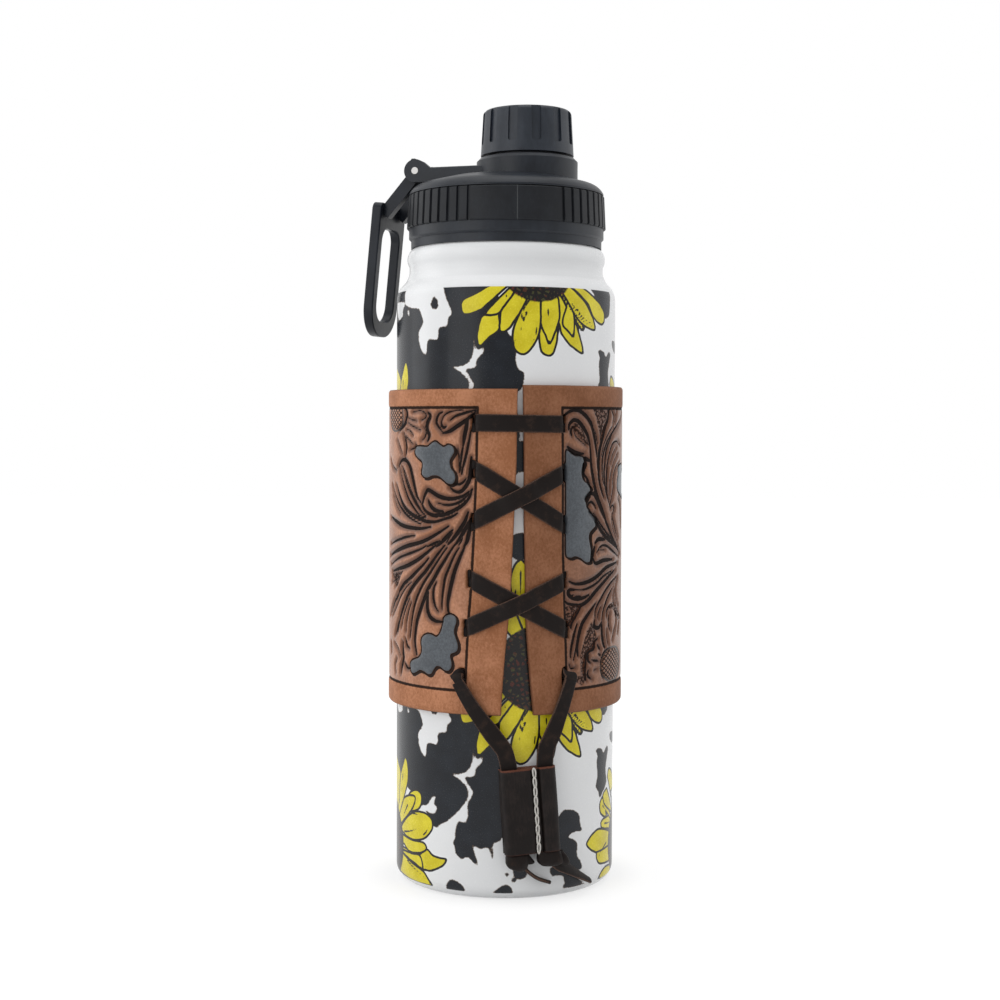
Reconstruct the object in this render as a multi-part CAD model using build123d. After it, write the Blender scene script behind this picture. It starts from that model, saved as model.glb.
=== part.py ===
from build123d import *
import os
from math import atan2, cos, degrees, hypot, pi, radians, sin, tan

# Double-wall water bottle with a screw lid, a spout cap, a folding carry loop and a
# leather sleeve that is laced up the front. Millimetres, +Z up, origin on the bottle's
# axis where it stands, the laced front towards -Y.

# Clearances
overrun = 2.0            # how far a cutter runs past the face that it opens
fit_gap = 0.05           # between round pieces that are fixed in each other
running_gap = 0.08       # between pieces that turn or slide in each other
soft_gap = 0.3           # between leather or lace and what it lies on

# Outer wall of the bottle
body_radius = 36.5
shell_wall = 0.5
base_corner = 4.5
base_rim = 2.0           # width of the flat rim that the bottle stands on
lip_height = 210.0
neck_height = 7.0        # from the shoulder to the lip
shoulder_rise = 9.7
neck_step = 4.2          # how far the neck is drawn in
neck_bead = 0.7          # how far the bead under the lid stands out
neck_bead_height = 5.7
lip_turn_in = 0.7
lip_width = 2.8          # from the neck's outside to the mouth
neck_radius = body_radius - neck_step
mouth_radius = neck_radius - lip_width
shoulder_high = lip_height - neck_height
shoulder_low = shoulder_high - shoulder_rise
base_opening = body_radius - base_corner - base_rim

# Closing disc of the outer wall, with its getter and its solder plug
closing_floor = 3.4
closing_rim_height = 4.4
seal_hole = 0.75
seal_dimple_radius = 4.0
seal_dimple_depth = 0.9
seal_bead_radius = 2.4
getter_radius = 5.0
getter_height = 2.2
getter_offset = 13.0

# Inner vessel
flask_wall = 0.5
vacuum_gap = 2.8
floor_gap = 2.0
flask_corner = 9.0
flask_shoulder_drop = 6.5
flask_shoulder_rise = 10.5
flask_radius = body_radius - shell_wall - vacuum_gap
flask_floor = closing_floor + closing_rim_height + floor_gap
flask_shoulder_high = shoulder_high - flask_shoulder_drop
flask_shoulder_low = flask_shoulder_high - flask_shoulder_rise

# Visible base disc
base_cap_lap = 1.6       # how far it reaches over the turned-in base
base_cap_rim = 9.0
base_cap_step = 1.0
base_cap_radius = base_opening + base_cap_lap
base_cap_step_radius = base_opening - base_cap_rim

# Threaded plug of the lid and its smooth skirt bands
plug_depth = 13.0
plug_wall = 2.5
plug_gap = 0.3           # thread clearance in the mouth
skirt_gap = 0.3          # over the lip
skirt_inset = 0.5
skirt_height = 3.0
band_proud = 0.7
band_chamfer = 0.7
band_height = 3.8
deck_wall = 2.4
deck_drop = 0.4
core_inset = 2.1         # room for the ribbed ring on the upright wall
core_wall = 2.2
plug_radius = mouth_radius - plug_gap
skirt_radius = neck_radius - skirt_inset
band_radius = skirt_radius + band_proud
core_radius = band_radius - core_inset
band_low = lip_height + skirt_height
band_top = band_low + band_height
deck_top = band_top - deck_drop
deck_floor = deck_top - deck_wall

# Gasket between lid and lip
gasket_width = 1.7
gasket_height = 1.3
gasket_gap = 0.1

# Ribbed ring
ring_height = 10.95
ring_proud = 0.7         # how far it stands out from the band below it
ring_taper = 0.5
rib_spaces = 19           # on each side between the two smooth panels
rib_groove_width = 1.25
rib_groove_floor = 0.7
rib_groove_depth = 0.7
panel_front_deg = 5.9    # where the smooth panel lies, from straight ahead towards +X
panel_half_deg = 27.5
ring_edge_round = 0.35
ring_radius_low = band_radius + ring_proud
ring_radius_high = ring_radius_low - ring_taper
ring_low = band_top + fit_gap
ring_high = ring_low + ring_height

# Lid housing: dome and collar
housing_seam = 0.25
dome_inset = 0.1
dome_edge_height = 0.6
dome_shoulder_width = 3.3
dome_shoulder_rise = 3.4
dome_top_width = 8.6
dome_crown = 2.2
dome_wall = 1.8
handle_side_deg = 163.0  # direction from the axis to the hinge
spout_offset = 7.2       # the spout lies this far off the axis, away from the hinge
collar_height = 6.5
collar_wall = 4.3
collar_chamfer = 1.1
dome_edge_radius = band_radius - dome_inset
dome_shoulder_radius = dome_edge_radius - dome_shoulder_width
dome_top_radius = dome_shoulder_radius - dome_top_width
housing_low = ring_high + housing_seam
dome_shoulder_height = housing_low + dome_shoulder_rise
dome_top = dome_shoulder_height + dome_crown
collar_top = dome_top + collar_height

# Drinking spout
spout_radius = 12.5
spout_wall = 2.0
spout_flange_width = 3.0
spout_flange_height = 1.6
spout_rise = 12.1        # above the collar
spout_bore = spout_radius - spout_wall
spout_flange = spout_radius + spout_flange_width
spout_lip = collar_top + spout_rise
collar_radius = spout_radius + collar_wall

# Spout cap
cap_gap = 0.9            # above the collar
liner_wall = 0.27
cap_wall = 1.7
cap_roof = 1.9
cap_taper = 0.85
cap_top_round = 1.6
cap_groove_count = 12
cap_groove_front_deg = 10.6
cap_groove_width = 3.1
cap_groove_depth = 0.75
cap_skirt = 3.4          # plain band below the grooves
seal_disc_height = 1.5
seal_room = 0.2          # above the sealing disc
cap_low = collar_top + cap_gap
cap_top = spout_lip + gasket_gap + seal_disc_height + seal_room + cap_roof
cap_groove_low = cap_low + cap_skirt
cap_radius_high = spout_radius + running_gap + liner_wall + fit_gap + cap_wall
cap_radius_low = cap_radius_high + cap_taper

# Arms and hinge of the carry loop, the raised rib and its ears
arm_inner = 5.5
arm_thick = 3.5
arm_width = 4.1
arm_length = 18.3
arm_fall_deg = 48.8
arm_head_radius = 3.6
heel_back = 3.95         # flat at the arm's head that stops the loop on the rib
heel_drop = 1.6
pin_radius = 1.15
pin_inset = 4.0          # from the dome's edge
pin_rise = 2.7           # above the dome's top
pin_proud = 0.15
rib_drop = 2.8           # below the collar's top
rib_round = 0.8
ear_gap = 0.2
ear_wall = 2.3
ear_radius = 3.8
ear_corner_height = 4.0  # above the pin
ear_corner_width = 1.1
ear_slope_back = 2.8     # behind the pin
ear_slope_height = 2.9
arm_outer = arm_inner + arm_thick
ear_inner = arm_outer + ear_gap
ear_outer = ear_inner + ear_wall
pin_offset = dome_edge_radius - pin_inset
pin_height = dome_top + pin_rise
rib_top = collar_top - rib_drop

# Carry loop
loop_lean_deg = 5.5
loop_height = 44.6
loop_thickness = 3.35
loop_half_width = 11.85
loop_bar = 3.7
loop_web = 8.2           # height of the solid web at the top
loop_foot = 5.2          # height of the bottom bar
loop_corner = 10.3
loop_top_corner = 2.4
loop_inner_corner = 6.0
loop_inner_top_corner = 4.6
loop_edge_round = 0.45
loop_lap_up = 4.0       # how far the loop's top lies above and beyond the arms' ends
loop_lap_out = 1.15
loop_top = pin_height - arm_length * sin(radians(arm_fall_deg)) + loop_lap_up
loop_top_offset = pin_offset + arm_length * cos(radians(arm_fall_deg)) + loop_lap_out
loop_bottom = loop_top - loop_height

# Leather sleeve
leather = 2.4
sleeve_low = 60.0
sleeve_height = 103.3
sleeve_step = 1.2        # the right end stands this much higher
tooled_margin_low = 8.0
tooled_margin_high = 6.8
tooled_depth = 0.35
front_strip = 13.0       # smooth strip each side of the gap
gap_low = 10.4           # width of the front gap at the bottom edge
gap_high = 1.9
gap_centre_low = 4.0     # where the gap's middle lies, along the surface towards +X
gap_centre_high = 4.6
slot_length = 5.9
slot_gap = 0.25
sleeve_top_left = sleeve_low + sleeve_height
sleeve_top_right = sleeve_top_left + sleeve_step
sleeve_inner = body_radius + soft_gap
sleeve_outer = sleeve_inner + leather
sleeve_arc = sleeve_outer      # distances along the surface are measured on this radius

# Lace and its slots, from the top down: heights as shares of the sleeve's left edge, and places
# along the surface as shares of the sleeve's radius, towards +X
lace_width = 5.6
lace_thick = 1.2
lace_over_gap = 0.25     # between the two straps of a crossing
slot_height_shares = [0.895, 0.755, 0.59, 0.418, 0.261, 0.111]
left_row_shares = [-0.255, -0.255, -0.263, -0.288, -0.321, -0.378]
right_row_shares = [0.485, 0.485, 0.49, 0.5, 0.515, 0.53]

# Slider bead on the free ends
bead_height = 27.0
bead_wall = 0.775        # beside the channels
bead_face = 1.85         # before and behind the channels
bead_corner = 2.2
bead_web = 2.3           # stitched middle between the two channels
bead_web_dip = 1.3       # how far the stitched middle lies behind the channels' faces
bead_front_deg = 11.6
bead_middle_height = 30.0
bead_tilt_deg = 3.9
channel_gap = 0.35
channel_lead = 3.4       # straight length of the lace above the bead
stitch_count = 9
stitch_thread = 0.45     # how far the stitches stand out
stitch_side = -0.7       # the stitch line lies this far left of the bead's middle
stitch_core_radius = 0.27
stitch_loop_radius = 0.54
stitch_loop_thick = 0.25
tube_width = lace_width + 2 * (channel_gap + bead_wall)
bead_width = 2 * tube_width + bead_web
bead_thick = lace_thick + 2 * (channel_gap + bead_face)
channel_spacing = tube_width + bead_web
bead_back = body_radius + soft_gap

# Free ends: along the surface, height, distance from the axis; chosen by hand
end_left_route = [(-14.6, 70.8, 41.5), (-11.3, 65.0, 41.4), (-7.5, 59.2, 41.0), (-3.1, 53.2, 40.4)]
end_right_route = [(20.9, 70.8, 40.9), (19.0, 64.8, 40.9), (16.9, 58.8, 40.6), (14.7, 52.9, 40.1)]
bend_share = 0.45        # of the shorter run at a bend
knot_width = 8.6
knot_height = 5.6
knot_thick = 5.4
knot_wrap_deg = 20.0     # lean of the strand that wraps the knot
knot_wrap_proud = 0.15
tail_width = 3.4
tail_thick = 1.2
tail_left_route = [(6.4, 10.9, 38.3), (10.6, 7.8, 38.0), (15.4, 5.6, 37.7)]
tail_right_route = [(16.8, 12.0, 38.3), (24.0, 8.6, 38.0), (32.0, 4.0, 37.7)]

os.makedirs("parts", exist_ok=True)


# Shared shapes

def ring_solid(outer, inner, low, high):
    body = Cylinder(outer, high - low, align=(Align.CENTER, Align.CENTER, Align.MIN))
    bore = Cylinder(inner, high - low + 2 * overrun, align=(Align.CENTER, Align.CENTER, Align.MIN))
    return Pos(0, 0, low) * body - Pos(0, 0, low - overrun) * bore


def disc(radius, low, high):
    return Pos(0, 0, low) * Cylinder(radius, high - low, align=(Align.CENTER, Align.CENTER, Align.MIN))


def turned(lines):
    return revolve(Plane.XZ * make_face(lines), Axis.Z)


def turned_outline(points):
    return turned(Polyline(*points, close=True))


def vessel(radius, floor, corner, ogee_low, ogee_high, throat, top, bead, inset):
    # a solid with the outline of a bottle wall, moved inwards by the inset
    step, rise = radius - throat, ogee_high - ogee_low
    bend = (step ** 2 + rise ** 2) / (4 * step)
    turn = 2 * atan2(step, rise)
    low = floor + inset
    knee = radius - corner
    corner_mid = (knee + (corner - inset) * cos(pi / 4), floor + corner - (corner - inset) * sin(pi / 4))
    wall_low = (radius - inset, floor + corner)
    wall_high = (radius - inset, ogee_low)
    near, far = bend - inset, bend + inset
    crown = (radius - bend + near * cos(turn / 2), ogee_low + near * sin(turn / 2))
    middle = (radius - bend + near * cos(turn), ogee_low + near * sin(turn))
    hollow = (throat + bend - far * cos(turn / 2), ogee_high - far * sin(turn / 2))
    neck = (throat - inset, ogee_high)
    lines = Polyline((0, low), (knee, low)) + ThreePointArc((knee, low), corner_mid, wall_low)
    lines += Line(wall_low, wall_high) + ThreePointArc(wall_high, crown, middle)
    lines += ThreePointArc(middle, hollow, neck)
    if bead:
        bead_low = (throat - inset, top - neck_bead_height)
        bead_mid = (throat - inset + bead, top - neck_bead_height / 2)
        lip = (throat - inset - lip_turn_in, top)
        lines += Line(neck, bead_low) + ThreePointArc(bead_low, bead_mid, lip)
    else:
        lip = (throat - inset, top)
        lines += Line(neck, lip)
    return turned(lines + Polyline(lip, (0, top), (0, low)))


def around(deg, shape):
    return Rot(0, 0, deg) * shape


def to_handle_side(shape):
    # pieces of the lid are drawn with the hinge towards +X, then turned into place
    return around(handle_side_deg, shape)


def front_angle(deg):
    # angle about Z of a place given from straight ahead (-Y) towards +X
    return deg - 90


def on_surface(along, height, radius, arc_radius):
    angle = along / arc_radius
    return Vector(radius * sin(angle), -radius * cos(angle), height)


# Bottle

def make_outer_shell():
    outside = vessel(body_radius, 0, base_corner, shoulder_low, shoulder_high,
                     neck_radius, lip_height, neck_bead, 0)
    inside = vessel(body_radius, 0, base_corner, shoulder_low, shoulder_high,
                    neck_radius, lip_height - shell_wall, neck_bead, shell_wall)
    throat = disc(mouth_radius + flask_wall + fit_gap, lip_height - overrun, lip_height + overrun)
    base = disc(base_opening, -overrun, overrun)
    return outside - inside - throat - base


def make_inner_flask():
    outer_throat = mouth_radius + flask_wall
    outside = vessel(flask_radius, flask_floor, flask_corner, flask_shoulder_low,
                     flask_shoulder_high, outer_throat, lip_height, 0, 0)
    inside = vessel(flask_radius, flask_floor, flask_corner, flask_shoulder_low,
                    flask_shoulder_high, outer_throat, lip_height + overrun, 0, flask_wall)
    return outside - inside


def make_outer_bottom():
    rim = body_radius - shell_wall - fit_gap
    low = closing_floor + shell_wall
    bend = rim - shell_wall
    top = closing_floor + closing_rim_height
    dip = low - seal_dimple_depth
    points = [(seal_hole, dip - shell_wall), (seal_dimple_radius, dip - shell_wall),
              (seal_dimple_radius + seal_dimple_depth, low - shell_wall),
              (bend - base_corner, low - shell_wall), (rim, top - shell_wall), (rim, top),
              (bend, top), (bend - base_corner, low), (seal_dimple_radius + seal_dimple_depth, low),
              (seal_dimple_radius, dip), (seal_hole, dip)]
    return turned_outline(points)


def make_vacuum_seal():
    low = closing_floor - seal_dimple_depth
    stem = disc(seal_hole - fit_gap, low, low + shell_wall + fit_gap)
    bead = disc(seal_bead_radius, low + shell_wall + fit_gap, low + shell_wall + seal_hole)
    return stem + fillet(bead.edges().group_by(Axis.Z)[-1], seal_hole / 2)


def make_getter_pellet():
    low = closing_floor + shell_wall
    pellet = disc(getter_radius, low, low + getter_height)
    return Pos(getter_offset, 0, 0) * chamfer(pellet.edges().group_by(Axis.Z)[-1], shell_wall)


def make_base_cap():
    low = shell_wall
    knee = base_cap_step_radius + base_cap_step
    points = [(0, low + base_cap_step), (base_cap_step_radius, low + base_cap_step), (knee, low),
              (base_cap_radius, low), (base_cap_radius, low + shell_wall), (knee, low + shell_wall),
              (base_cap_step_radius, low + base_cap_step + shell_wall),
              (0, low + base_cap_step + shell_wall)]
    return turned_outline(points)


# Lid

def spout_axis(shape):
    return to_handle_side(Pos(-spout_offset, 0, 0) * shape)


def make_lid_plug():
    # threaded ring with the skirt that covers the lip
    plug_low = lip_height - plug_depth
    skirt_low = lip_height + skirt_gap
    skirt_top = band_low - fit_gap
    plug_top = deck_floor - fit_gap
    groove_roof = lip_height + gasket_gap + gasket_height + gasket_gap
    groove_radius = plug_radius + gasket_gap + gasket_width + gasket_gap
    inner = plug_radius - plug_wall
    points = [(inner, plug_low), (plug_radius, plug_low), (plug_radius, groove_roof),
              (groove_radius, groove_roof), (groove_radius, skirt_low), (skirt_radius, skirt_low),
              (skirt_radius, skirt_top), (plug_radius, skirt_top), (plug_radius, plug_top), (inner, plug_top)]
    return turned_outline(points)


def make_lid_core():
    # band, deck and upright wall
    seat = plug_radius + fit_gap
    points = [(seat, band_low), (skirt_radius, band_low), (band_radius, band_low + band_chamfer),
              (band_radius, band_top), (core_radius, band_top),
              (core_radius, housing_low), (core_radius - core_wall, housing_low),
              (core_radius - core_wall, deck_top), (0, deck_top), (0, deck_floor), (seat, deck_floor)]
    hole = disc(spout_bore, deck_floor - overrun, deck_top + overrun)
    return turned_outline(points) - spout_axis(hole)


def make_lid_gasket():
    inner = plug_radius + gasket_gap
    low = lip_height + gasket_gap
    return ring_solid(inner + gasket_width, inner, low, low + gasket_height)


def rib_groove(height):
    # cutter for one groove of the ring, wider at its mouth, standing on z = 0 and cutting towards -X
    mouth = rib_groove_width / 2
    floor = rib_groove_floor / 2
    out = rib_groove_depth
    face = make_face(Polyline((-out, -floor), (0, -mouth), (out, -mouth), (out, mouth), (0, mouth),
                              (-out, floor), close=True))
    return extrude(face, height)


def make_grip_ring():
    inner = core_radius + fit_gap
    points = [(inner, ring_low), (ring_radius_low - ring_edge_round, ring_low),
              (ring_radius_low, ring_low + ring_edge_round),
              (ring_radius_high, ring_high - ring_edge_round),
              (ring_radius_high - ring_edge_round, ring_high), (inner, ring_high)]
    body = turned_outline(points)
    lean = degrees(atan2(ring_radius_low - ring_radius_high, ring_high - ring_low))
    groove = rib_groove(ring_high - ring_low + 2 * overrun)
    groove = Pos(ring_radius_low, 0, ring_low) * Rot(0, -lean, 0) * Pos(0, 0, -overrun) * groove
    pitch = (180 - 2 * panel_half_deg) / rib_spaces
    cutters = []
    for side in (0, 180):
        for number in range(rib_spaces + 1):
            turn = front_angle(panel_front_deg) + side + panel_half_deg + number * pitch
            cutters.append(around(turn, groove))
    return body - cutters


def dome_outline(inset):
    low = housing_low
    edge = (dome_edge_radius - inset, low + dome_edge_height)
    shoulder = (dome_shoulder_radius - inset / 2, dome_shoulder_height - inset)
    flat = (dome_top_radius, dome_top - inset)
    mid = ((edge[0] + shoulder[0] + inset / 2) / 2 + dome_edge_height / 2,
           (edge[1] + shoulder[1]) / 2 + dome_edge_height / 2)
    start = low - (overrun if inset else 0)
    lines = Polyline((0, start), (edge[0], start), edge) + ThreePointArc(edge, mid, shoulder)
    lines += Polyline(shoulder, flat, (0, dome_top - inset), (0, start))
    return turned(lines)


def make_hinge_rib():
    wall = pin_offset - heel_back - 2 * running_gap
    floor = dome_shoulder_height - dome_wall
    start = -spout_offset
    body = Pos(0, 0, floor) * Box(wall - start, 2 * ear_outer, rib_top - floor,
                                  align=(Align.MIN, Align.CENTER, Align.MIN))
    body = Pos(start, 0, 0) * body
    body = fillet(body.edges().filter_by(Axis.X).group_by(Axis.Z)[-1], rib_round)
    ear_floor = pin_height - ear_radius
    outline = make_face(
        Polyline((wall - overrun, ear_floor), (pin_offset, ear_floor), (pin_offset + ear_radius, pin_height),
                 (pin_offset + ear_corner_width, pin_height + ear_corner_height),
                 (pin_offset, pin_height + ear_corner_height),
                 (pin_offset - ear_slope_back, pin_height + ear_slope_height),
                 (wall - overrun, rib_top - rib_round), close=True))
    outline += Pos(pin_offset, pin_height) * Circle(ear_radius)
    ear = extrude(Plane.XZ * outline, ear_outer - ear_inner)
    near = Pos(0, -ear_inner, 0) * ear
    far = Pos(0, ear_outer, 0) * ear
    pin_hole = Cylinder(pin_radius + fit_gap / 2, 2 * ear_outer + overrun)
    return body + near + far - Pos(pin_offset, 0, pin_height) * Rot(90, 0, 0) * pin_hole


def make_lid_housing():
    dome = dome_outline(0) - dome_outline(dome_wall)
    collar = disc(collar_radius, dome_top - dome_wall, collar_top)
    collar = chamfer(collar.edges().group_by(Axis.Z)[-1], collar_chamfer)
    collar = Pos(-spout_offset, 0, 0) * collar
    room = disc(spout_radius + fit_gap, housing_low - overrun, collar_top + overrun)
    room = Pos(-spout_offset, 0, 0) * room
    inside = dome_outline(dome_wall)
    rib = make_hinge_rib() - inside
    return to_handle_side(dome + collar + rib - room)


def make_drinking_spout():
    tube = ring_solid(spout_radius, spout_bore, deck_top, spout_lip)
    flange = ring_solid(spout_flange, spout_bore, deck_top, deck_top + spout_flange_height)
    return spout_axis(tube + flange)


def make_hinge_pin():
    length = 2 * (ear_outer + pin_proud)
    pin = Pos(pin_offset, 0, pin_height) * Rot(90, 0, 0) * Cylinder(pin_radius, length)
    return to_handle_side(pin)


# Spout cap

def make_spout_cap():
    outline = [(0, cap_low), (cap_radius_low, cap_low), (cap_radius_high, cap_top), (0, cap_top)]
    body = turned_outline(outline)
    body = fillet(body.edges().group_by(Axis.Z)[-1], cap_top_round)
    lean = degrees(atan2(cap_radius_low - cap_radius_high, cap_top - cap_low))
    height = cap_top - cap_groove_low + overrun
    slot = Box(2 * cap_groove_depth, cap_groove_width, height, align=(Align.CENTER, Align.CENTER, Align.MIN))
    slot = fillet(slot.edges().filter_by(Axis.X).group_by(Axis.Z)[0], cap_groove_width / 4)
    share = (cap_groove_low - cap_low) / (cap_top - cap_low)
    radius = cap_radius_low + (cap_radius_high - cap_radius_low) * share
    slot = Pos(radius, 0, cap_groove_low) * Rot(0, -lean, 0) * slot
    start = front_angle(cap_groove_front_deg) - handle_side_deg
    cutters = [around(start + 360 * number / cap_groove_count, slot) for number in range(cap_groove_count)]
    room = disc(cap_radius_high - cap_wall, cap_low - overrun, cap_top - cap_roof)
    return spout_axis(body - cutters - room)


def make_cap_liner():
    inner = spout_radius + running_gap
    return spout_axis(ring_solid(inner + liner_wall, inner, cap_low, spout_lip))


def make_spout_seal():
    low = spout_lip + gasket_gap
    radius = cap_radius_high - cap_wall - gasket_gap
    return spout_axis(disc(radius, low, low + seal_disc_height))


# Carry loop

def make_carry_loop():
    lean = radians(loop_lean_deg)
    length = (loop_top - loop_bottom) / cos(lean)
    outside = Pos(0, -length / 2) * Rectangle(2 * loop_half_width, length)
    low = outside.vertices().group_by(Axis.Y)[0]
    outside = fillet(low, loop_corner)
    outside = fillet(outside.vertices().group_by(Axis.Y)[-1], loop_top_corner)
    hole_length = length - loop_web - loop_foot
    hole = Pos(0, -loop_web - hole_length / 2) * Rectangle(2 * (loop_half_width - loop_bar), hole_length)
    hole = fillet(hole.vertices().group_by(Axis.Y)[0], loop_inner_corner)
    hole = fillet(hole.vertices().group_by(Axis.Y)[-1], loop_inner_top_corner)
    flat = extrude(outside - hole, loop_thickness / 2, both=True)
    flat = fillet(flat.faces().sort_by(Axis.Z)[-1].edges() + flat.faces().sort_by(Axis.Z)[0].edges(),
                  loop_edge_round)
    stand = Plane(origin=(loop_top_offset, 0, loop_top), x_dir=(0, 1, 0), z_dir=(cos(lean), 0, sin(lean)))
    loop = stand * flat
    fall = radians(arm_fall_deg)
    along = Vector(cos(fall), -sin(fall))
    middle = Vector(pin_offset, pin_height) + along * (arm_length / 2)
    outline = Pos(middle.X, middle.Y) * Rot(0, 0, -arm_fall_deg) * Rectangle(arm_length, arm_width)
    outline += Pos(pin_offset, pin_height) * Circle(arm_head_radius)
    heel = Rectangle(heel_back, heel_drop, align=(Align.MAX, Align.MAX))
    outline += Pos(pin_offset, pin_height) * heel
    arm = extrude(Plane.XZ * outline, arm_outer - arm_inner)
    near = Pos(0, -arm_inner, 0) * arm
    far = Pos(0, arm_outer, 0) * arm
    pin_hole = Cylinder(pin_radius + running_gap, 2 * ear_outer)
    pin_hole = Pos(pin_offset, 0, pin_height) * Rot(90, 0, 0) * pin_hole
    return to_handle_side(loop + near + far - pin_hole)


# Leather sleeve and lace

def seen_from_front(points, radius):
    # a flat outline in front view whose corners lie at these places on the round surface
    flat = [(radius * sin(along / sleeve_arc), height) for along, height in points]
    return make_face(Polyline(*flat, close=True))


def forwards(face):
    # the outline carried forwards through the front wall of the sleeve
    return extrude(Plane.XZ * face, sleeve_outer + lace_width)


def band(points, inner, outer, seen_radius, centre=(0, 0)):
    # the part of a round wall that this outline covers when seen from the front
    heights = [height for along, height in points]
    low, high = min(heights) - overrun, max(heights) + overrun
    shell = Pos(centre[0], centre[1], 0) * ring_solid(outer, inner, low, high)
    return shell & forwards(seen_from_front(points, seen_radius))


def slot_places():
    rows = []
    for row_shares in (left_row_shares, right_row_shares):
        places = [(share * sleeve_outer, sleeve_low + height_share * (sleeve_top_left - sleeve_low))
                  for share, height_share in zip(row_shares, slot_height_shares)]
        rows.append(places)
    return rows


def strap_outline(start, end, width):
    run = (end[0] - start[0], end[1] - start[1])
    length = hypot(*run)
    side = (-run[1] / length * width / 2, run[0] / length * width / 2)
    return [(start[0] + side[0], start[1] + side[1]), (end[0] + side[0], end[1] + side[1]),
            (end[0] - side[0], end[1] - side[1]), (start[0] - side[0], start[1] - side[1])]


def slot_box(place, thick, length, inner, outer):
    along, height = place
    box = Box(thick, outer - inner, length, align=(Align.CENTER, Align.MAX, Align.CENTER))
    return Pos(0, 0, height) * around(degrees(along / sleeve_arc), Pos(0, -inner, 0) * box)


def back_run(upper, lower, extra, inner, outer):
    half = lace_width / 2
    top = (upper[0], upper[1] + half)
    bottom = (lower[0], lower[1] - half)
    outline = strap_outline((top[0], top[1] + extra), (bottom[0], bottom[1] - extra),
                            lace_width + 2 * extra)
    return band(outline, inner, outer, sleeve_inner)


back_inner = sleeve_inner + fit_gap
back_outer = back_inner + lace_thick
front_inner = sleeve_outer + fit_gap
front_outer = front_inner + lace_thick


def gap_outline():
    low, high = sleeve_low - overrun, sleeve_top_right + overrun
    return [(gap_centre_low - gap_low / 2, low), (gap_centre_low + gap_low / 2, low),
            (gap_centre_high + gap_high / 2, high), (gap_centre_high - gap_high / 2, high)]


def tooled_recess(side):
    # the carved field is pressed lower than the smooth margins all round it
    low, high = sleeve_low + tooled_margin_low, sleeve_top_left - tooled_margin_high
    shell = ring_solid(sleeve_outer + overrun, sleeve_outer - tooled_depth, low, high)
    reach = pi / 2 * sleeve_arc
    inner_low = gap_centre_low + side * (gap_low / 2 + front_strip)
    inner_high = gap_centre_high + side * (gap_high / 2 + front_strip)
    field = forwards(seen_from_front([(inner_low, sleeve_low), (side * reach, sleeve_low),
                                      (side * reach, sleeve_top_right), (inner_high, sleeve_top_right)],
                                     sleeve_outer))
    return shell & field


def make_leather_sleeve():
    body = ring_solid(sleeve_outer, sleeve_inner, sleeve_low, sleeve_top_right)
    body -= forwards(seen_from_front(gap_outline(), sleeve_outer))
    left_edge = Box(2 * sleeve_outer, 2 * sleeve_outer + overrun, sleeve_outer,
                    align=(Align.MAX, Align.CENTER, Align.MIN))
    body -= Pos(gap_centre_high, 0, sleeve_top_left) * left_edge
    for side in (-1, 1):
        body -= tooled_recess(side)
    behind = ring_solid(sleeve_outer + overrun, sleeve_outer - tooled_depth, sleeve_low + tooled_margin_low,
                        sleeve_top_left - tooled_margin_high)
    rear_half = Box(2 * sleeve_outer + 2 * overrun, sleeve_outer + overrun, sleeve_top_right,
                    align=(Align.CENTER, Align.MIN, Align.MIN))
    body -= behind & rear_half
    for row in slot_places():
        for place in row:
            body -= slot_box(place, lace_thick + 2 * slot_gap, slot_length, sleeve_inner - overrun,
                             sleeve_outer + overrun)
        for upper, lower in ((0, 1), (2, 3), (4, 5)):
            body -= back_run(row[upper], row[lower], slot_gap, sleeve_inner - overrun,
                             back_outer + fit_gap)
    return body


def lifted_centre(start, end):
    # axis of the rounder curve that an over strap takes to clear the strap beneath it
    middle = (start[0] + end[0]) / 2 / sleeve_arc
    half = (abs(end[0] - start[0]) / 2 + lace_width / 3) / sleeve_arc
    lift = lace_thick + lace_over_gap
    side, deep = front_inner * sin(half), front_inner * cos(half)
    peak = front_inner + lift
    bend = (side ** 2 + (peak - deep) ** 2) / (2 * (peak - deep))
    reach = peak - bend
    return bend, (reach * sin(middle), -reach * cos(middle))


def crossing(row_over, row_under, upper, lower):
    over_start, over_end = row_over[0][upper], row_over[1][lower]
    under_start, under_end = row_under[0][upper], row_under[1][lower]
    under = band(strap_outline(under_start, under_end, lace_width), front_inner, front_outer, sleeve_outer)
    bend, centre = lifted_centre(over_start, over_end)
    outline = strap_outline(over_start, over_end, lace_width)
    over = band(outline, bend, bend + lace_thick, sleeve_outer, centre)
    return under, over


def make_lace():
    left, right = slot_places()
    top_bar = band(strap_outline(left[0], right[0], lace_width), front_inner, front_outer, sleeve_outer)
    pieces = [top_bar]
    pieces += crossing((right, left), (left, right), 1, 2)
    pieces += crossing((right, left), (left, right), 3, 4)
    for row in (left, right):
        for number, place in enumerate(row):
            outer = front_outer if number < len(row) - 1 else sleeve_outer
            pieces.append(slot_box(place, lace_thick, lace_width, back_inner, outer))
        for upper, lower in ((0, 1), (2, 3), (4, 5)):
            pieces.append(back_run(row[upper], row[lower], 0, back_inner, back_outer))
    whole = pieces[0]
    for piece in pieces[1:]:
        whole += piece
    return whole


# Slider bead and the lace's free ends

def bead_plane(depth):
    # plane through the bead: X across it, Y up it, Z away from the bottle
    turn = radians(bead_front_deg)
    out = Vector(sin(turn), -cos(turn), 0)
    across = Vector(cos(turn), sin(turn), 0)
    up = Vector(0, 0, 1)
    tilt = radians(bead_tilt_deg)
    across = across * cos(tilt) + up * sin(tilt)
    centre = out * (bead_back + depth) + up * bead_middle_height
    return Plane(origin=centre, x_dir=across, z_dir=out)


def channel_side(side):
    return side * channel_spacing / 2


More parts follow.
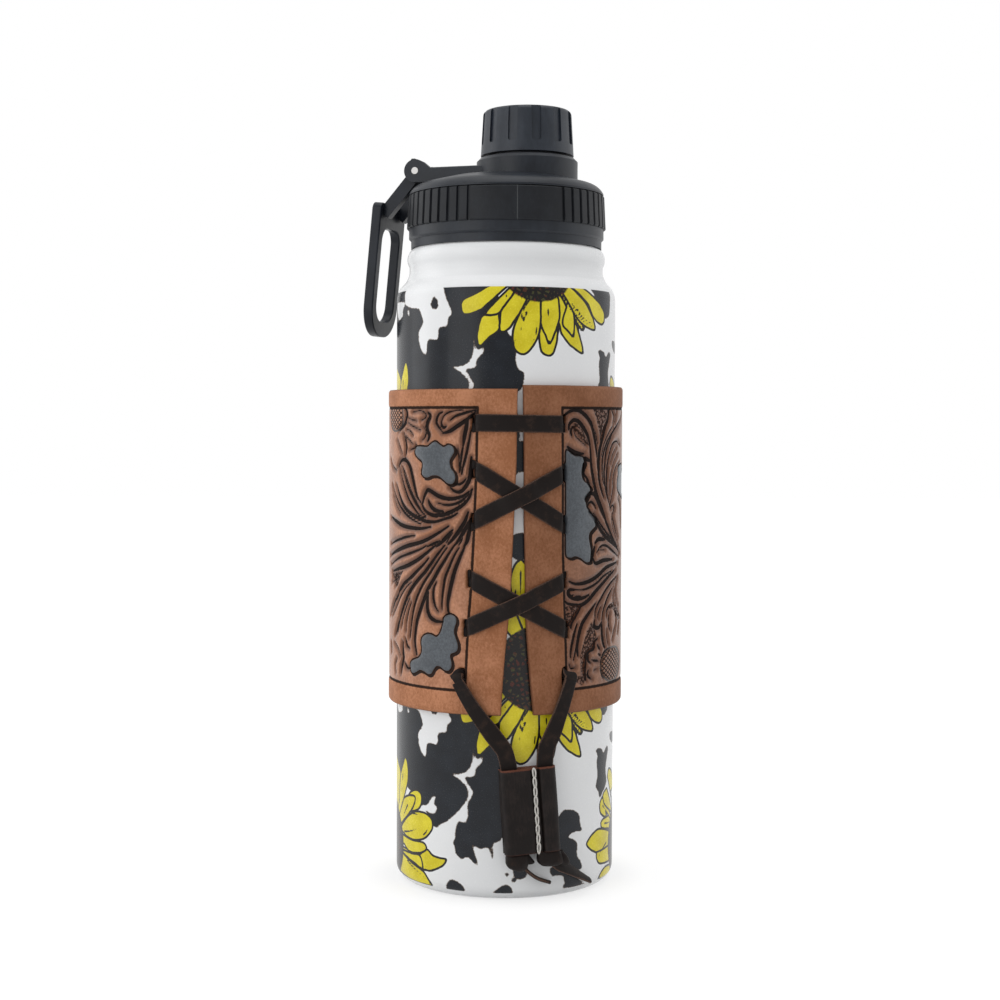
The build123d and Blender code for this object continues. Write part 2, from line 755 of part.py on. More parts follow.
def bead_section():
    tube = RectangleRounded(tube_width, bead_thick, bead_corner)
    web = Pos(0, -bead_web_dip / 2) * Rectangle(bead_width / 2, bead_thick - bead_web_dip)
    section = Pos(channel_side(-1), 0) * tube + Pos(channel_side(1), 0) * tube + web
    hole = Rectangle(lace_width + 2 * channel_gap, lace_thick + 2 * channel_gap)
    for side in (-1, 1):
        section -= Pos(channel_side(side), 0) * hole
    return section


def make_slider_bead():
    # the section's Y points away from the bottle once it lies across the bead
    block = Rot(90, 0, 0) * extrude(bead_section(), bead_height)
    return bead_plane(bead_thick / 2) * (Pos(0, bead_height / 2, 0) * block)


def make_bead_stitching():
    front = bead_plane(bead_thick - bead_web_dip + stitch_thread)
    pitch = bead_height / stitch_count
    link = Torus(stitch_loop_radius, stitch_loop_thick)
    link = scale(link, by=(1, pitch / (2 * (stitch_loop_radius + stitch_loop_thick)), 1))
    whole = Cylinder(stitch_core_radius, bead_height, rotation=(90, 0, 0))
    for number in range(stitch_count):
        whole += Pos(0, (number + 0.5) * pitch - bead_height / 2, 0) * link
    return front * (Pos(stitch_side, 0, 0) * whole)


def bends(points):
    # arc radii of a cord's path, from its runs and turns
    radii = []
    for before, here, after in zip(points, points[1:], points[2:]):
        first, second = here - before, after - here
        turn = radians(first.get_angle(second))
        radii.append(bend_share * min(first.length, second.length) / tan(turn / 2))
    return radii


def ribbon(points, width, thick, out):
    radii = bends(points)
    path = FilletPolyline(*points, radius=radii)
    start = (points[1] - points[0]).normalized()
    across = start.cross(out).normalized()
    section = Plane(origin=points[0], x_dir=across, z_dir=start) * Rectangle(width, thick)
    body = sweep(section, path=path)
    print("ribbon length", round(path.length, 2), "volume share",
          round(body.volume / (path.length * width * thick), 4),
          "radii", [round(value, 1) for value in radii])
    return body


def channel_points(side):
    # the free end runs straight through its channel
    middle = bead_plane(bead_thick / 2)
    x = channel_side(side)
    above = bead_height / 2 + channel_lead
    return [middle.from_local_coords(Vector(x, -bead_height / 2 - fit_gap, 0)),
            middle.from_local_coords(Vector(x, above, 0))]


def free_end(route, side):
    points = channel_points(side)
    points += [on_surface(along, height, radius, sleeve_arc) for along, height, radius in reversed(route)]
    return ribbon(points, lace_width, lace_thick, bead_plane(0).z_dir)


def knot(route, side):
    middle = bead_plane(knot_thick / 2)
    low = -bead_height / 2 - 2 * fit_gap
    lump = Pos(channel_side(side), low - knot_height / 2, 0) * Box(knot_width, knot_height, knot_thick)
    lump = fillet(lump.edges(), knot_height / 3)
    wrap = Box(knot_width + 2 * knot_wrap_proud, lace_width / 2, knot_thick + 2 * knot_wrap_proud)
    wrap = Pos(channel_side(side), low - knot_height / 2, 0) * Rot(0, 0, side * knot_wrap_deg) * wrap
    lump += fillet(wrap.edges(), lace_thick)
    points = [on_surface(along, height, radius, sleeve_arc) for along, height, radius in route]
    angle = route[0][0] / sleeve_arc
    return middle * lump + ribbon(points, tail_width, tail_thick, Vector(sin(angle), -cos(angle), 0))


def make_all():
    return {
        "outer_shell": make_outer_shell(),
        "inner_flask": make_inner_flask(),
        "outer_bottom": make_outer_bottom(),
        "vacuum_seal": make_vacuum_seal(),
        "getter_pellet": make_getter_pellet(),
        "base_cap": make_base_cap(),
        "lid_plug": make_lid_plug(),
        "lid_core": make_lid_core(),
        "lid_gasket": make_lid_gasket(),
        "grip_ring": make_grip_ring(),
        "lid_housing": make_lid_housing(),
        "drinking_spout": make_drinking_spout(),
        "hinge_pin": make_hinge_pin(),
        "spout_cap": make_spout_cap(),
        "cap_liner": make_cap_liner(),
        "spout_seal": make_spout_seal(),
        "carry_loop": make_carry_loop(),
        "leather_sleeve": make_leather_sleeve(),
        "lace": make_lace(),
        "slider_bead": make_slider_bead(),
        "bead_stitching": make_bead_stitching(),
        "lace_end_left": free_end(end_left_route, -1),
        "lace_end_right": free_end(end_right_route, 1),
        "knot_left": knot(tail_left_route, -1),
        "knot_right": knot(tail_right_route, 1),
    }


for name, shape in make_all().items():
    export_step(shape, f"parts/{name}.step")
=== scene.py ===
from math import cos, pi, radians, sin, tau
import bmesh
import bpy
import numpy as np
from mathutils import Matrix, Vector, kdtree
from mathutils.geometry import tessellate_polygon


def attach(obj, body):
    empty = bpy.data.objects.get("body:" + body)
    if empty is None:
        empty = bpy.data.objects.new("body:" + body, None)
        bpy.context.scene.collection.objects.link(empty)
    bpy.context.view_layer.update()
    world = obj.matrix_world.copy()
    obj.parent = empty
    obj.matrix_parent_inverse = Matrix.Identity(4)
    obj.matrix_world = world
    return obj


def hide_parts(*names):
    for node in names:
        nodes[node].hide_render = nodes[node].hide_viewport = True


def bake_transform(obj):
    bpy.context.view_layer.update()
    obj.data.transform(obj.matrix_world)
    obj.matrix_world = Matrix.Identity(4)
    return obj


# Water bottle with a laced leather sleeve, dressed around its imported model. Metres in the scene;
# the dictionaries hold millimetres and degrees, measured from the laced front towards +X.

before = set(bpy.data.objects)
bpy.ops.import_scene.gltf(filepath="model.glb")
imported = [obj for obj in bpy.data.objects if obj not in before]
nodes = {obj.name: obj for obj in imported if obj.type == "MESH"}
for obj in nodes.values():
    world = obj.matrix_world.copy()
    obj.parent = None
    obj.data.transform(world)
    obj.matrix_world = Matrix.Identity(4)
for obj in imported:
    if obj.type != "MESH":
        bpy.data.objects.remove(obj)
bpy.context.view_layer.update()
mm = 0.001
# stands for a distance that is too great to matter
far = 9.0


# Camera, lamps and floor

view = {"place": (-1.9, -583.0, 152.0), "pitch": 2.49, "roll": 0.18, "lens": 62.35, "sensor": 36.0, "near": 0.01}


def makeCamera():
    camera = bpy.data.objects.new("camera", bpy.data.cameras.new("camera"))
    camera.location = Vector(view["place"]) * mm
    camera.rotation_euler = (radians(90 - view["pitch"]), radians(-view["roll"]), 0)
    camera.data.lens = view["lens"]
    camera.data.sensor_width = view["sensor"]
    camera.data.clip_start = view["near"]
    bpy.context.scene.collection.objects.link(camera)
    bpy.context.scene.camera = camera


# distances, heights and sizes of the lamps and their target are in metres
lampTarget = Vector((0, 0, 0.13))
lamps = {
    "left softbox": {"azimuth": -44, "distance": 1.0, "height": 0.25, "size": (0.62, 1.3), "power": 2.95},
    "left side": {"azimuth": -100, "distance": 1.0, "height": 0.25, "size": (0.5, 1.3), "power": 1.9},
    "right side": {"azimuth": 96, "distance": 1.1, "height": 0.25, "size": (0.6, 1.3), "power": 0.8},
    "top": {"azimuth": 0, "distance": 0.15, "height": 1.1, "size": (0.8, 0.8), "power": 2.2},
}


def makeLamps():
    for name, lamp in lamps.items():
        light = bpy.data.lights.new(name, "AREA")
        light.shape = "RECTANGLE"
        light.size, light.size_y = lamp["size"]
        light.energy = lamp["power"]
        piece = bpy.data.objects.new(name, light)
        turn = radians(lamp["azimuth"])
        piece.location = (lamp["distance"] * sin(turn), -lamp["distance"] * cos(turn), lamp["height"])
        piece.rotation_euler = (lampTarget - piece.location).to_track_quat("-Z", "Y").to_euler()
        bpy.context.scene.collection.objects.link(piece)


# Shader maths

class Value:
    # a number that changes over a surface: arithmetic on it adds Math nodes
    def __init__(self, paint, socket):
        self.paint = paint
        self.socket = socket

    def maths(self, operation, *values):
        return self.paint.node("ShaderNodeMath", {"operation": operation}, values)

    def __add__(self, other):
        return self.maths("ADD", self, other)

    def __sub__(self, other):
        return self.maths("SUBTRACT", self, other)

    def __rsub__(self, other):
        return self.maths("SUBTRACT", other, self)

    def __mul__(self, other):
        return self.maths("MULTIPLY", self, other)

    def __truediv__(self, other):
        return self.maths("DIVIDE", self, other)

    __radd__ = __add__
    __rmul__ = __mul__

    def least(self, other):
        return self.maths("MINIMUM", self, other)

    def most(self, other):
        return self.maths("MAXIMUM", self, other)

    def size(self):
        return self.maths("ABSOLUTE", self)

    def sine(self):
        return self.maths("SINE", self)

    def rise(self, low, high):
        # 0 below low, 1 above high and smooth between them
        return self.paint.node("ShaderNodeMapRange", {"interpolation_type": "SMOOTHSTEP"},
                               (self, low, high, 0.0, 1.0))

    def fall(self, low, high):
        return 1 - self.rise(low, high)


class Paint:
    # a material or the world, with its node tree
    def __init__(self, name, holder=None, **constants):
        self.material = holder or bpy.data.materials.new(name)
        self.material.use_nodes = True
        self.tree = self.material.node_tree
        self.shader = self.tree.nodes.get("Principled BSDF")
        for socket, value in constants.items():
            self.shader.inputs[socket.replace("_", " ")].default_value = value

    def node(self, kind, settings=None, values=(), out=0):
        made = self.tree.nodes.new(kind)
        for setting, value in (settings or {}).items():
            setattr(made, setting, value)
        pairs = values.items() if isinstance(values, dict) else enumerate(values)
        for socket, value in pairs:
            if isinstance(value, Value):
                self.tree.links.new(value.socket, made.inputs[socket])
            else:
                made.inputs[socket].default_value = value
        return Value(self, made.outputs[out])

    def place(self):
        return self.node("ShaderNodeTexCoord", out="Object")

    def attribute(self, name):
        return self.node("ShaderNodeAttribute", {"attribute_name": name}, out="Fac")

    def axis(self, index):
        # one coordinate of a place on the surface, in millimetres
        return self.node("ShaderNodeSeparateXYZ", {}, (self.place(),), out=index) / mm

    def noise(self, grain, detail=3.0, rough=0.5, place=None):
        # grain is the size of its spots in millimetres
        return self.node("ShaderNodeTexNoise", {}, {"Vector": place or self.place(), "Scale": 1 / (grain * mm),
                                                     "Detail": detail, "Roughness": rough})

    def cells(self, feature, grain):
        return self.node("ShaderNodeTexVoronoi", {"feature": feature},
                         {"Vector": self.place(), "Scale": 1 / (grain * mm)})

    def stretched(self, factors):
        return self.node("ShaderNodeVectorMath", {"operation": "MULTIPLY"}, (self.place(), factors))

    def blend(self, share, first, second):
        return self.node("ShaderNodeMix", {"data_type": "RGBA"}, {0: share, 6: first, 7: second}, out=2)

    def feed(self, socket, value):
        self.tree.links.new(value.socket, self.shader.inputs[socket])

    def bump(self, height, depth, strength=1.0):
        # depth is how far a height of 1 stands out, in millimetres
        made = self.node("ShaderNodeBump", {}, {"Strength": strength, "Distance": depth * mm, "Height": height})
        self.feed("Normal", made)

    def finish(self, output, value):
        self.tree.links.new(value.socket, self.tree.nodes[output].inputs[0])


def colour(red, green, blue):
    return (red, green, blue, 1.0)


# how bright the camera sees the floor: a base, and (gain, from, to) by the distance in metres
floorLook = {"reach": 3.0, "shade": 0.70, "rough": 0.9, "glow": 1.1, "base": 0.62,
             "gains": [(0.20, 0.030, 0.050), (0.18, 0.06, 0.16)], "mirrored": 0.75}


def makeFloor():
    look = floorLook
    bpy.ops.mesh.primitive_plane_add(size=2 * look["reach"])
    floor = bpy.context.object
    floor.name = "floor"
    paint = Paint("floor", Base_Color=colour(*[look["shade"]] * 3), Roughness=look["rough"])
    glow = paint.node("ShaderNodeEmission", {}, {"Color": colour(1, 1, 1), "Strength": look["glow"]})
    camera, gloss, clear = [paint.node("ShaderNodeLightPath", out="Is " + kind + " Ray")
                            for kind in ("Camera", "Glossy", "Transmission")]
    distance = paint.node("ShaderNodeVectorMath", {"operation": "LENGTH"}, (paint.place(),), out="Value")
    bright = look["base"]
    for gain, low, high in look["gains"]:
        bright = bright + gain * distance.rise(low, high)
    seen = (camera * bright).most(gloss * look["mirrored"]).most(clear)
    shaded = Value(paint, paint.shader.outputs[0])
    paint.finish("Material Output", paint.node("ShaderNodeMixShader", {}, (seen, shaded, glow)))
    floor.data.materials.append(paint.material)


# pale all round, darker on the camera's side, as in a small studio
studio = {"range": (-0.75, 0.05), "strength": (0.50, 0.9)}


def makeWorld():
    world = bpy.data.worlds.new("studio")
    bpy.context.scene.world = world
    paint = Paint("studio", world)
    depth = paint.node("ShaderNodeSeparateXYZ", {}, (paint.node("ShaderNodeTexCoord", out="Generated"),), out="Y")
    level = paint.node("ShaderNodeMapRange", {"interpolation_type": "SMOOTHSTEP"},
                       (depth, *studio["range"], *studio["strength"]))
    back = paint.tree.nodes["Background"]
    back.inputs["Color"].default_value = colour(1, 1, 1)
    paint.tree.links.new(level.socket, back.inputs["Strength"])
    seen = paint.node("ShaderNodeBackground", {}, {"Color": colour(1, 1, 1), "Strength": 1.0})
    camera = paint.node("ShaderNodeLightPath", out="Is Camera Ray")
    paint.finish("World Output", paint.node("ShaderNodeMixShader", {}, (camera, Value(paint, back.outputs[0]), seen)))


# Meshes

def meshPiece(name, points, faces, material, body=None, replaced=(), values=None):
    mesh = bpy.data.meshes.new(name)
    mesh.from_pydata([tuple(point) for point in np.asarray(points) * mm], [], faces)
    mesh.polygons.foreach_set("use_smooth", [True] * len(mesh.polygons))
    for title, numbers in (values or {}).items():
        mesh.attributes.new(title, "FLOAT", "POINT").data.foreach_set("value", np.asarray(numbers, np.float32))
    mesh.materials.append(material)
    mesh.update()
    piece = bpy.data.objects.new(name, mesh)
    bpy.context.scene.collection.objects.link(piece)
    if body:
        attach(piece, body)
    if replaced:
        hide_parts(*replaced)
    return piece


def onRound(along, height, radius, arcRadius):
    # a place given by its distance along a round surface, its height and its distance from the axis
    turn = np.asarray(along) / arcRadius
    return np.stack([radius * np.sin(turn), -radius * np.cos(turn), height + 0 * turn], -1)


def unit(rows):
    return rows / np.linalg.norm(rows, axis=1)[:, None]


def gridFaces(rows, columns, start=0, joinEnds=False, joinSides=True):
    # four-sided faces between points that stand in rows
    faces = []
    for row in range(rows if joinEnds else rows - 1):
        low, high = start + row * columns, start + (row + 1) % rows * columns
        for side in range(columns if joinSides else columns - 1):
            after = (side + 1) % columns
            faces.append((low + side, low + after, high + after, high + side))
    return faces


def outlineDistance(places, outline):
    # distance to a closed outline, negative inside it
    outline = np.asarray(outline, float)
    nearest = np.full(len(places), 1e9)
    inside = np.zeros(len(places), bool)
    for start, end in zip(outline, np.roll(outline, -1, 0)):
        run = end - start
        offset = places - start
        share = np.clip((offset @ run) / max(run @ run, 1e-12), 0, 1)
        nearest = np.minimum(nearest, np.linalg.norm(offset - share[:, None] * run, axis=1))
        crosses = (start[1] > places[:, 1]) != (end[1] > places[:, 1])
        rise = run[1] if run[1] else 1e-12
        inside ^= crosses & (places[:, 0] < start[0] + (places[:, 1] - start[1]) * run[0] / rise)
    return np.where(inside, -nearest, nearest)


def nearestOutline(places, outlines):
    nearest = np.full(len(places), far)
    for outline in outlines:
        nearest = np.minimum(nearest, outlineDistance(places, outline))
    return nearest


def rounded(points, closed=False, steps=8):
    # a smooth line through given points
    points = np.asarray(points, float)
    if closed:
        padded = np.concatenate([points[-1:], points, points[:2]])
    else:
        padded = np.concatenate([2 * points[:1] - points[1:2], points, 2 * points[-1:] - points[-2:-1]])
    line = []
    for before, start, end, after in zip(padded, padded[1:], padded[2:], padded[3:]):
        for step in range(steps):
            t = step / steps
            line.append(0.5 * (2 * start + (end - before) * t + (2 * before - 5 * start + 4 * end - after) * t * t
                               + (3 * start - before - 3 * end + after) * t ** 3))
    if not closed:
        line.append(points[-1])
    return np.array(line)


def roundedStep(values, low, high):
    share = np.clip((values - low) / (high - low), 0, 1)
    return share * share * (3 - 2 * share)


makeCamera()
makeLamps()
makeFloor()
makeWorld()
bpy.context.scene.view_settings.view_transform = "Standard"
print("camera, lamps and floor are made")


# Free ends of the lace, hung from the sleeve to the bead

# widths of the free ends stand at shares of their length; the low run is slimmer and hides inside the bead
strap = {"width": 5.6, "thick": 1.2, "ends": (4.1, 4.6, 4.9, 5.5), "endsAt": (0, 0.1, 0.3, 0.55),
         "facesOut": (46, 66), "slimmer": 0.5, "thinner": 0.4, "seed": 3, "lowSeed": 7}
sleeveArc = 39.2
bead = {"front": 11.6, "tilt": 3.9, "middle": 30.0, "height": 27.0, "thick": 5.6, "back": 36.8, "spacing": 10.15,
        "lead": 3.4, "foot": 0.05, "gap": 0.1, "stays": 3.0}
# routes: (along the surface, height, distance from the axis)
freeEnds = {
    "left": {"side": -1, "route": [(-14.6, 70.8, 41.5), (-11.3, 65.0, 41.4), (-7.5, 59.2, 41.0), (-3.1, 53.2, 40.4)]},
    "right": {"side": 1, "route": [(20.9, 70.8, 40.9), (19.0, 64.8, 40.9), (16.9, 58.8, 40.6), (14.7, 52.9, 40.1)]},
}


def beadPlane(depth):
    # across, up and outwards directions of the bead, and its middle at this depth from its back
    turn, tilt = radians(bead["front"]), radians(bead["tilt"])
    out = Vector((sin(turn), -cos(turn), 0))
    across = Vector((cos(turn), sin(turn), 0)) * cos(tilt) + Vector((0, 0, sin(tilt)))
    up = out.cross(across)
    middle = out * (bead["back"] + depth) + Vector((0, 0, bead["middle"]))
    return across, up, out, middle


def beadPoint(x, y, depth):
    across, up, out, middle = beadPlane(depth)
    return middle + across * x + up * y


def splineThrough(points):
    # the smooth line of a cord, read from the spline that has these points as its control points
    curve = bpy.data.curves.new("route", "CURVE")
    curve.dimensions = "3D"
    curve.resolution_u = 24
    spline = curve.splines.new("NURBS")
    spline.points.add(len(points) - 1)
    for point, place in zip(spline.points, points):
        point.co = (*place, 1)
    spline.order_u = 3
    spline.use_endpoint_u = True
    piece = bpy.data.objects.new("route", curve)
    bpy.context.scene.collection.objects.link(piece)
    bpy.context.view_layer.update()
    mesh = bpy.data.meshes.new_from_object(piece)
    line = np.array([vertex.co for vertex in mesh.vertices])
    bpy.data.meshes.remove(mesh)
    bpy.data.objects.remove(piece)
    return line


def strapSection(width, thick, edge=0.38, crown=0.12):
    # half-round edges, a slightly crowned face: pairs of (across, out)
    half, deep = width / 2, thick / 2
    side, drop = half - edge * 0.3, edge * 0.45
    shares = np.linspace(-1, 1, 9)
    points = [(share * (half - edge), deep + crown * (1 - share * share) - crown) for share in shares]
    points += [(side, deep - drop), (half, 0), (side, -deep + drop)]
    points += [(share * (half - edge), -deep) for share in shares[::-2]]
    points += [(-side, -deep + drop), (-half, 0), (-side, deep - drop)]
    return np.array(points)


def ribbonMesh(line, across, out, width, thick, seed):
    # a flat strap along a line: returns its points, faces and how near each point is to a cut edge
    chance = np.random.default_rng(seed)
    count = len(line)
    wander = np.interp(np.linspace(0, 1, count), np.linspace(0, 1, 9), chance.uniform(-0.12, 0.12, 9))
    points, edges = [], []
    for index in range(count):
        wide = width[index] if np.ndim(width) else width
        section = strapSection(wide + wander[index], thick)
        for x, y in section:
            points.append(line[index] + across[index] * x + out[index] * y)
            edges.append(min(1.0, abs(2 * x / wide)))
    size = len(section)
    faces = gridFaces(count, size)
    faces.append(tuple(range(size))[::-1])
    faces.append(tuple((count - 1) * size + side for side in range(size)))
    return np.array(points), faces, np.array(edges)


laceFinish = {"face": colour(0.009, 0.0054, 0.0045), "worn": colour(0.036, 0.020, 0.014),
              "raw": colour(0.15, 0.085, 0.06)}


def paintLace():
    finish = laceFinish
    paint = Paint("laceLeather", Specular_IOR_Level=0.17)
    edge = paint.attribute("edge")
    fibres = paint.noise(0.35, 4.0)
    cloud = paint.noise(3.0, 2.0)
    worn = (edge + (fibres - 0.5) * 0.35).rise(0.82, 1.05)
    scuff = (cloud + (fibres - 0.5) * 0.5).rise(0.5, 0.85)
    face = paint.blend(scuff * 0.7, finish["face"], finish["worn"])
    paint.feed("Base Color", paint.blend(worn * 0.75, face, finish["raw"]))
    paint.feed("Roughness", 0.42 + 0.25 * fibres)
    paint.bump(fibres + 0.5 * paint.noise(0.9, 3.0), 0.09, 0.8)
    return paint.material


laceLeather = paintLace()


def makeFreeEnd(name, end):
    route = [Vector(onRound(*place, sleeveArc)) for place in end["route"]]
    x, depth, top = end["side"] * bead["spacing"] / 2, bead["thick"] / 2, bead["height"] / 2
    route += [beadPoint(x, top + bead["lead"], depth), beadPoint(x, -top - bead["foot"], depth)]
    line = splineThrough(route)
    up, beadOut, middle = beadPlane(depth)[1:]
    across, out = [], []
    for place, run in zip(line, np.gradient(line, axis=0)):
        # the strap lies on the round sleeve above and on the bead's plane below
        radial = Vector((place[0], place[1], 0)).normalized()
        share = roundedStep(place[2], *strap["facesOut"])
        facing = (beadOut * (1 - share) + radial * share).normalized()
        side = Vector(run).cross(facing).normalized()
        across.append(side)
        out.append(side.cross(Vector(run)).normalized())
    across, out = np.array(across), np.array(out)
    wide = np.interp(np.linspace(0, 1, len(line)), strap["endsAt"], strap["ends"])
    replaced = "lace_end_" + name
    points, faces, edges = ribbonMesh(line, across, out, wide, strap["thick"], strap["seed"] + end["side"])
    piece = meshPiece("free_end_" + name, points, faces, laceLeather, values={"edge": edges})
    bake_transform(piece)
    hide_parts(replaced)
    # the run inside the slider, which stays with the knot when the slider moves up the lace
    stays = np.array([(Vector(place) - middle).dot(up) < top - bead["stays"] for place in line])
    points, faces, edges = ribbonMesh(line[stays], across[stays], out[stays], wide[stays] - strap["slimmer"],
                                      strap["thick"] - strap["thinner"], strap["lowSeed"] + end["side"])
    tail = meshPiece("free_end_" + name + "_low", points, faces, laceLeather, "sleeve",
                     (replaced,), {"edge": edges})


for name, end in freeEnds.items():
    makeFreeEnd(name, end)


# Outer wall with its printed pattern

shell = {"radius": 36.5, "corner": 4.5, "rim": 30.0, "shoulder": 193.3, "bend": 6.65, "turn": 46.8, "neck": 32.3,
         "neckLow": 203.0, "beadLow": 204.3, "beadMiddle": (33.0, 207.15), "lip": (31.6, 210.0), "mouth": 30.05,
         "wall": 0.5, "columns": 288,
         # rows stand further apart where the sleeve covers them
         "covered": (66, 162), "rows": (0.55, 1.5, 0.62),
         # places on the inner face, and how many of the profile's points lie there
         "innerShoulder": (33.9, 198.2), "innerCorner": (34.9, 1.5), "inside": 10, "printEnds": 199}
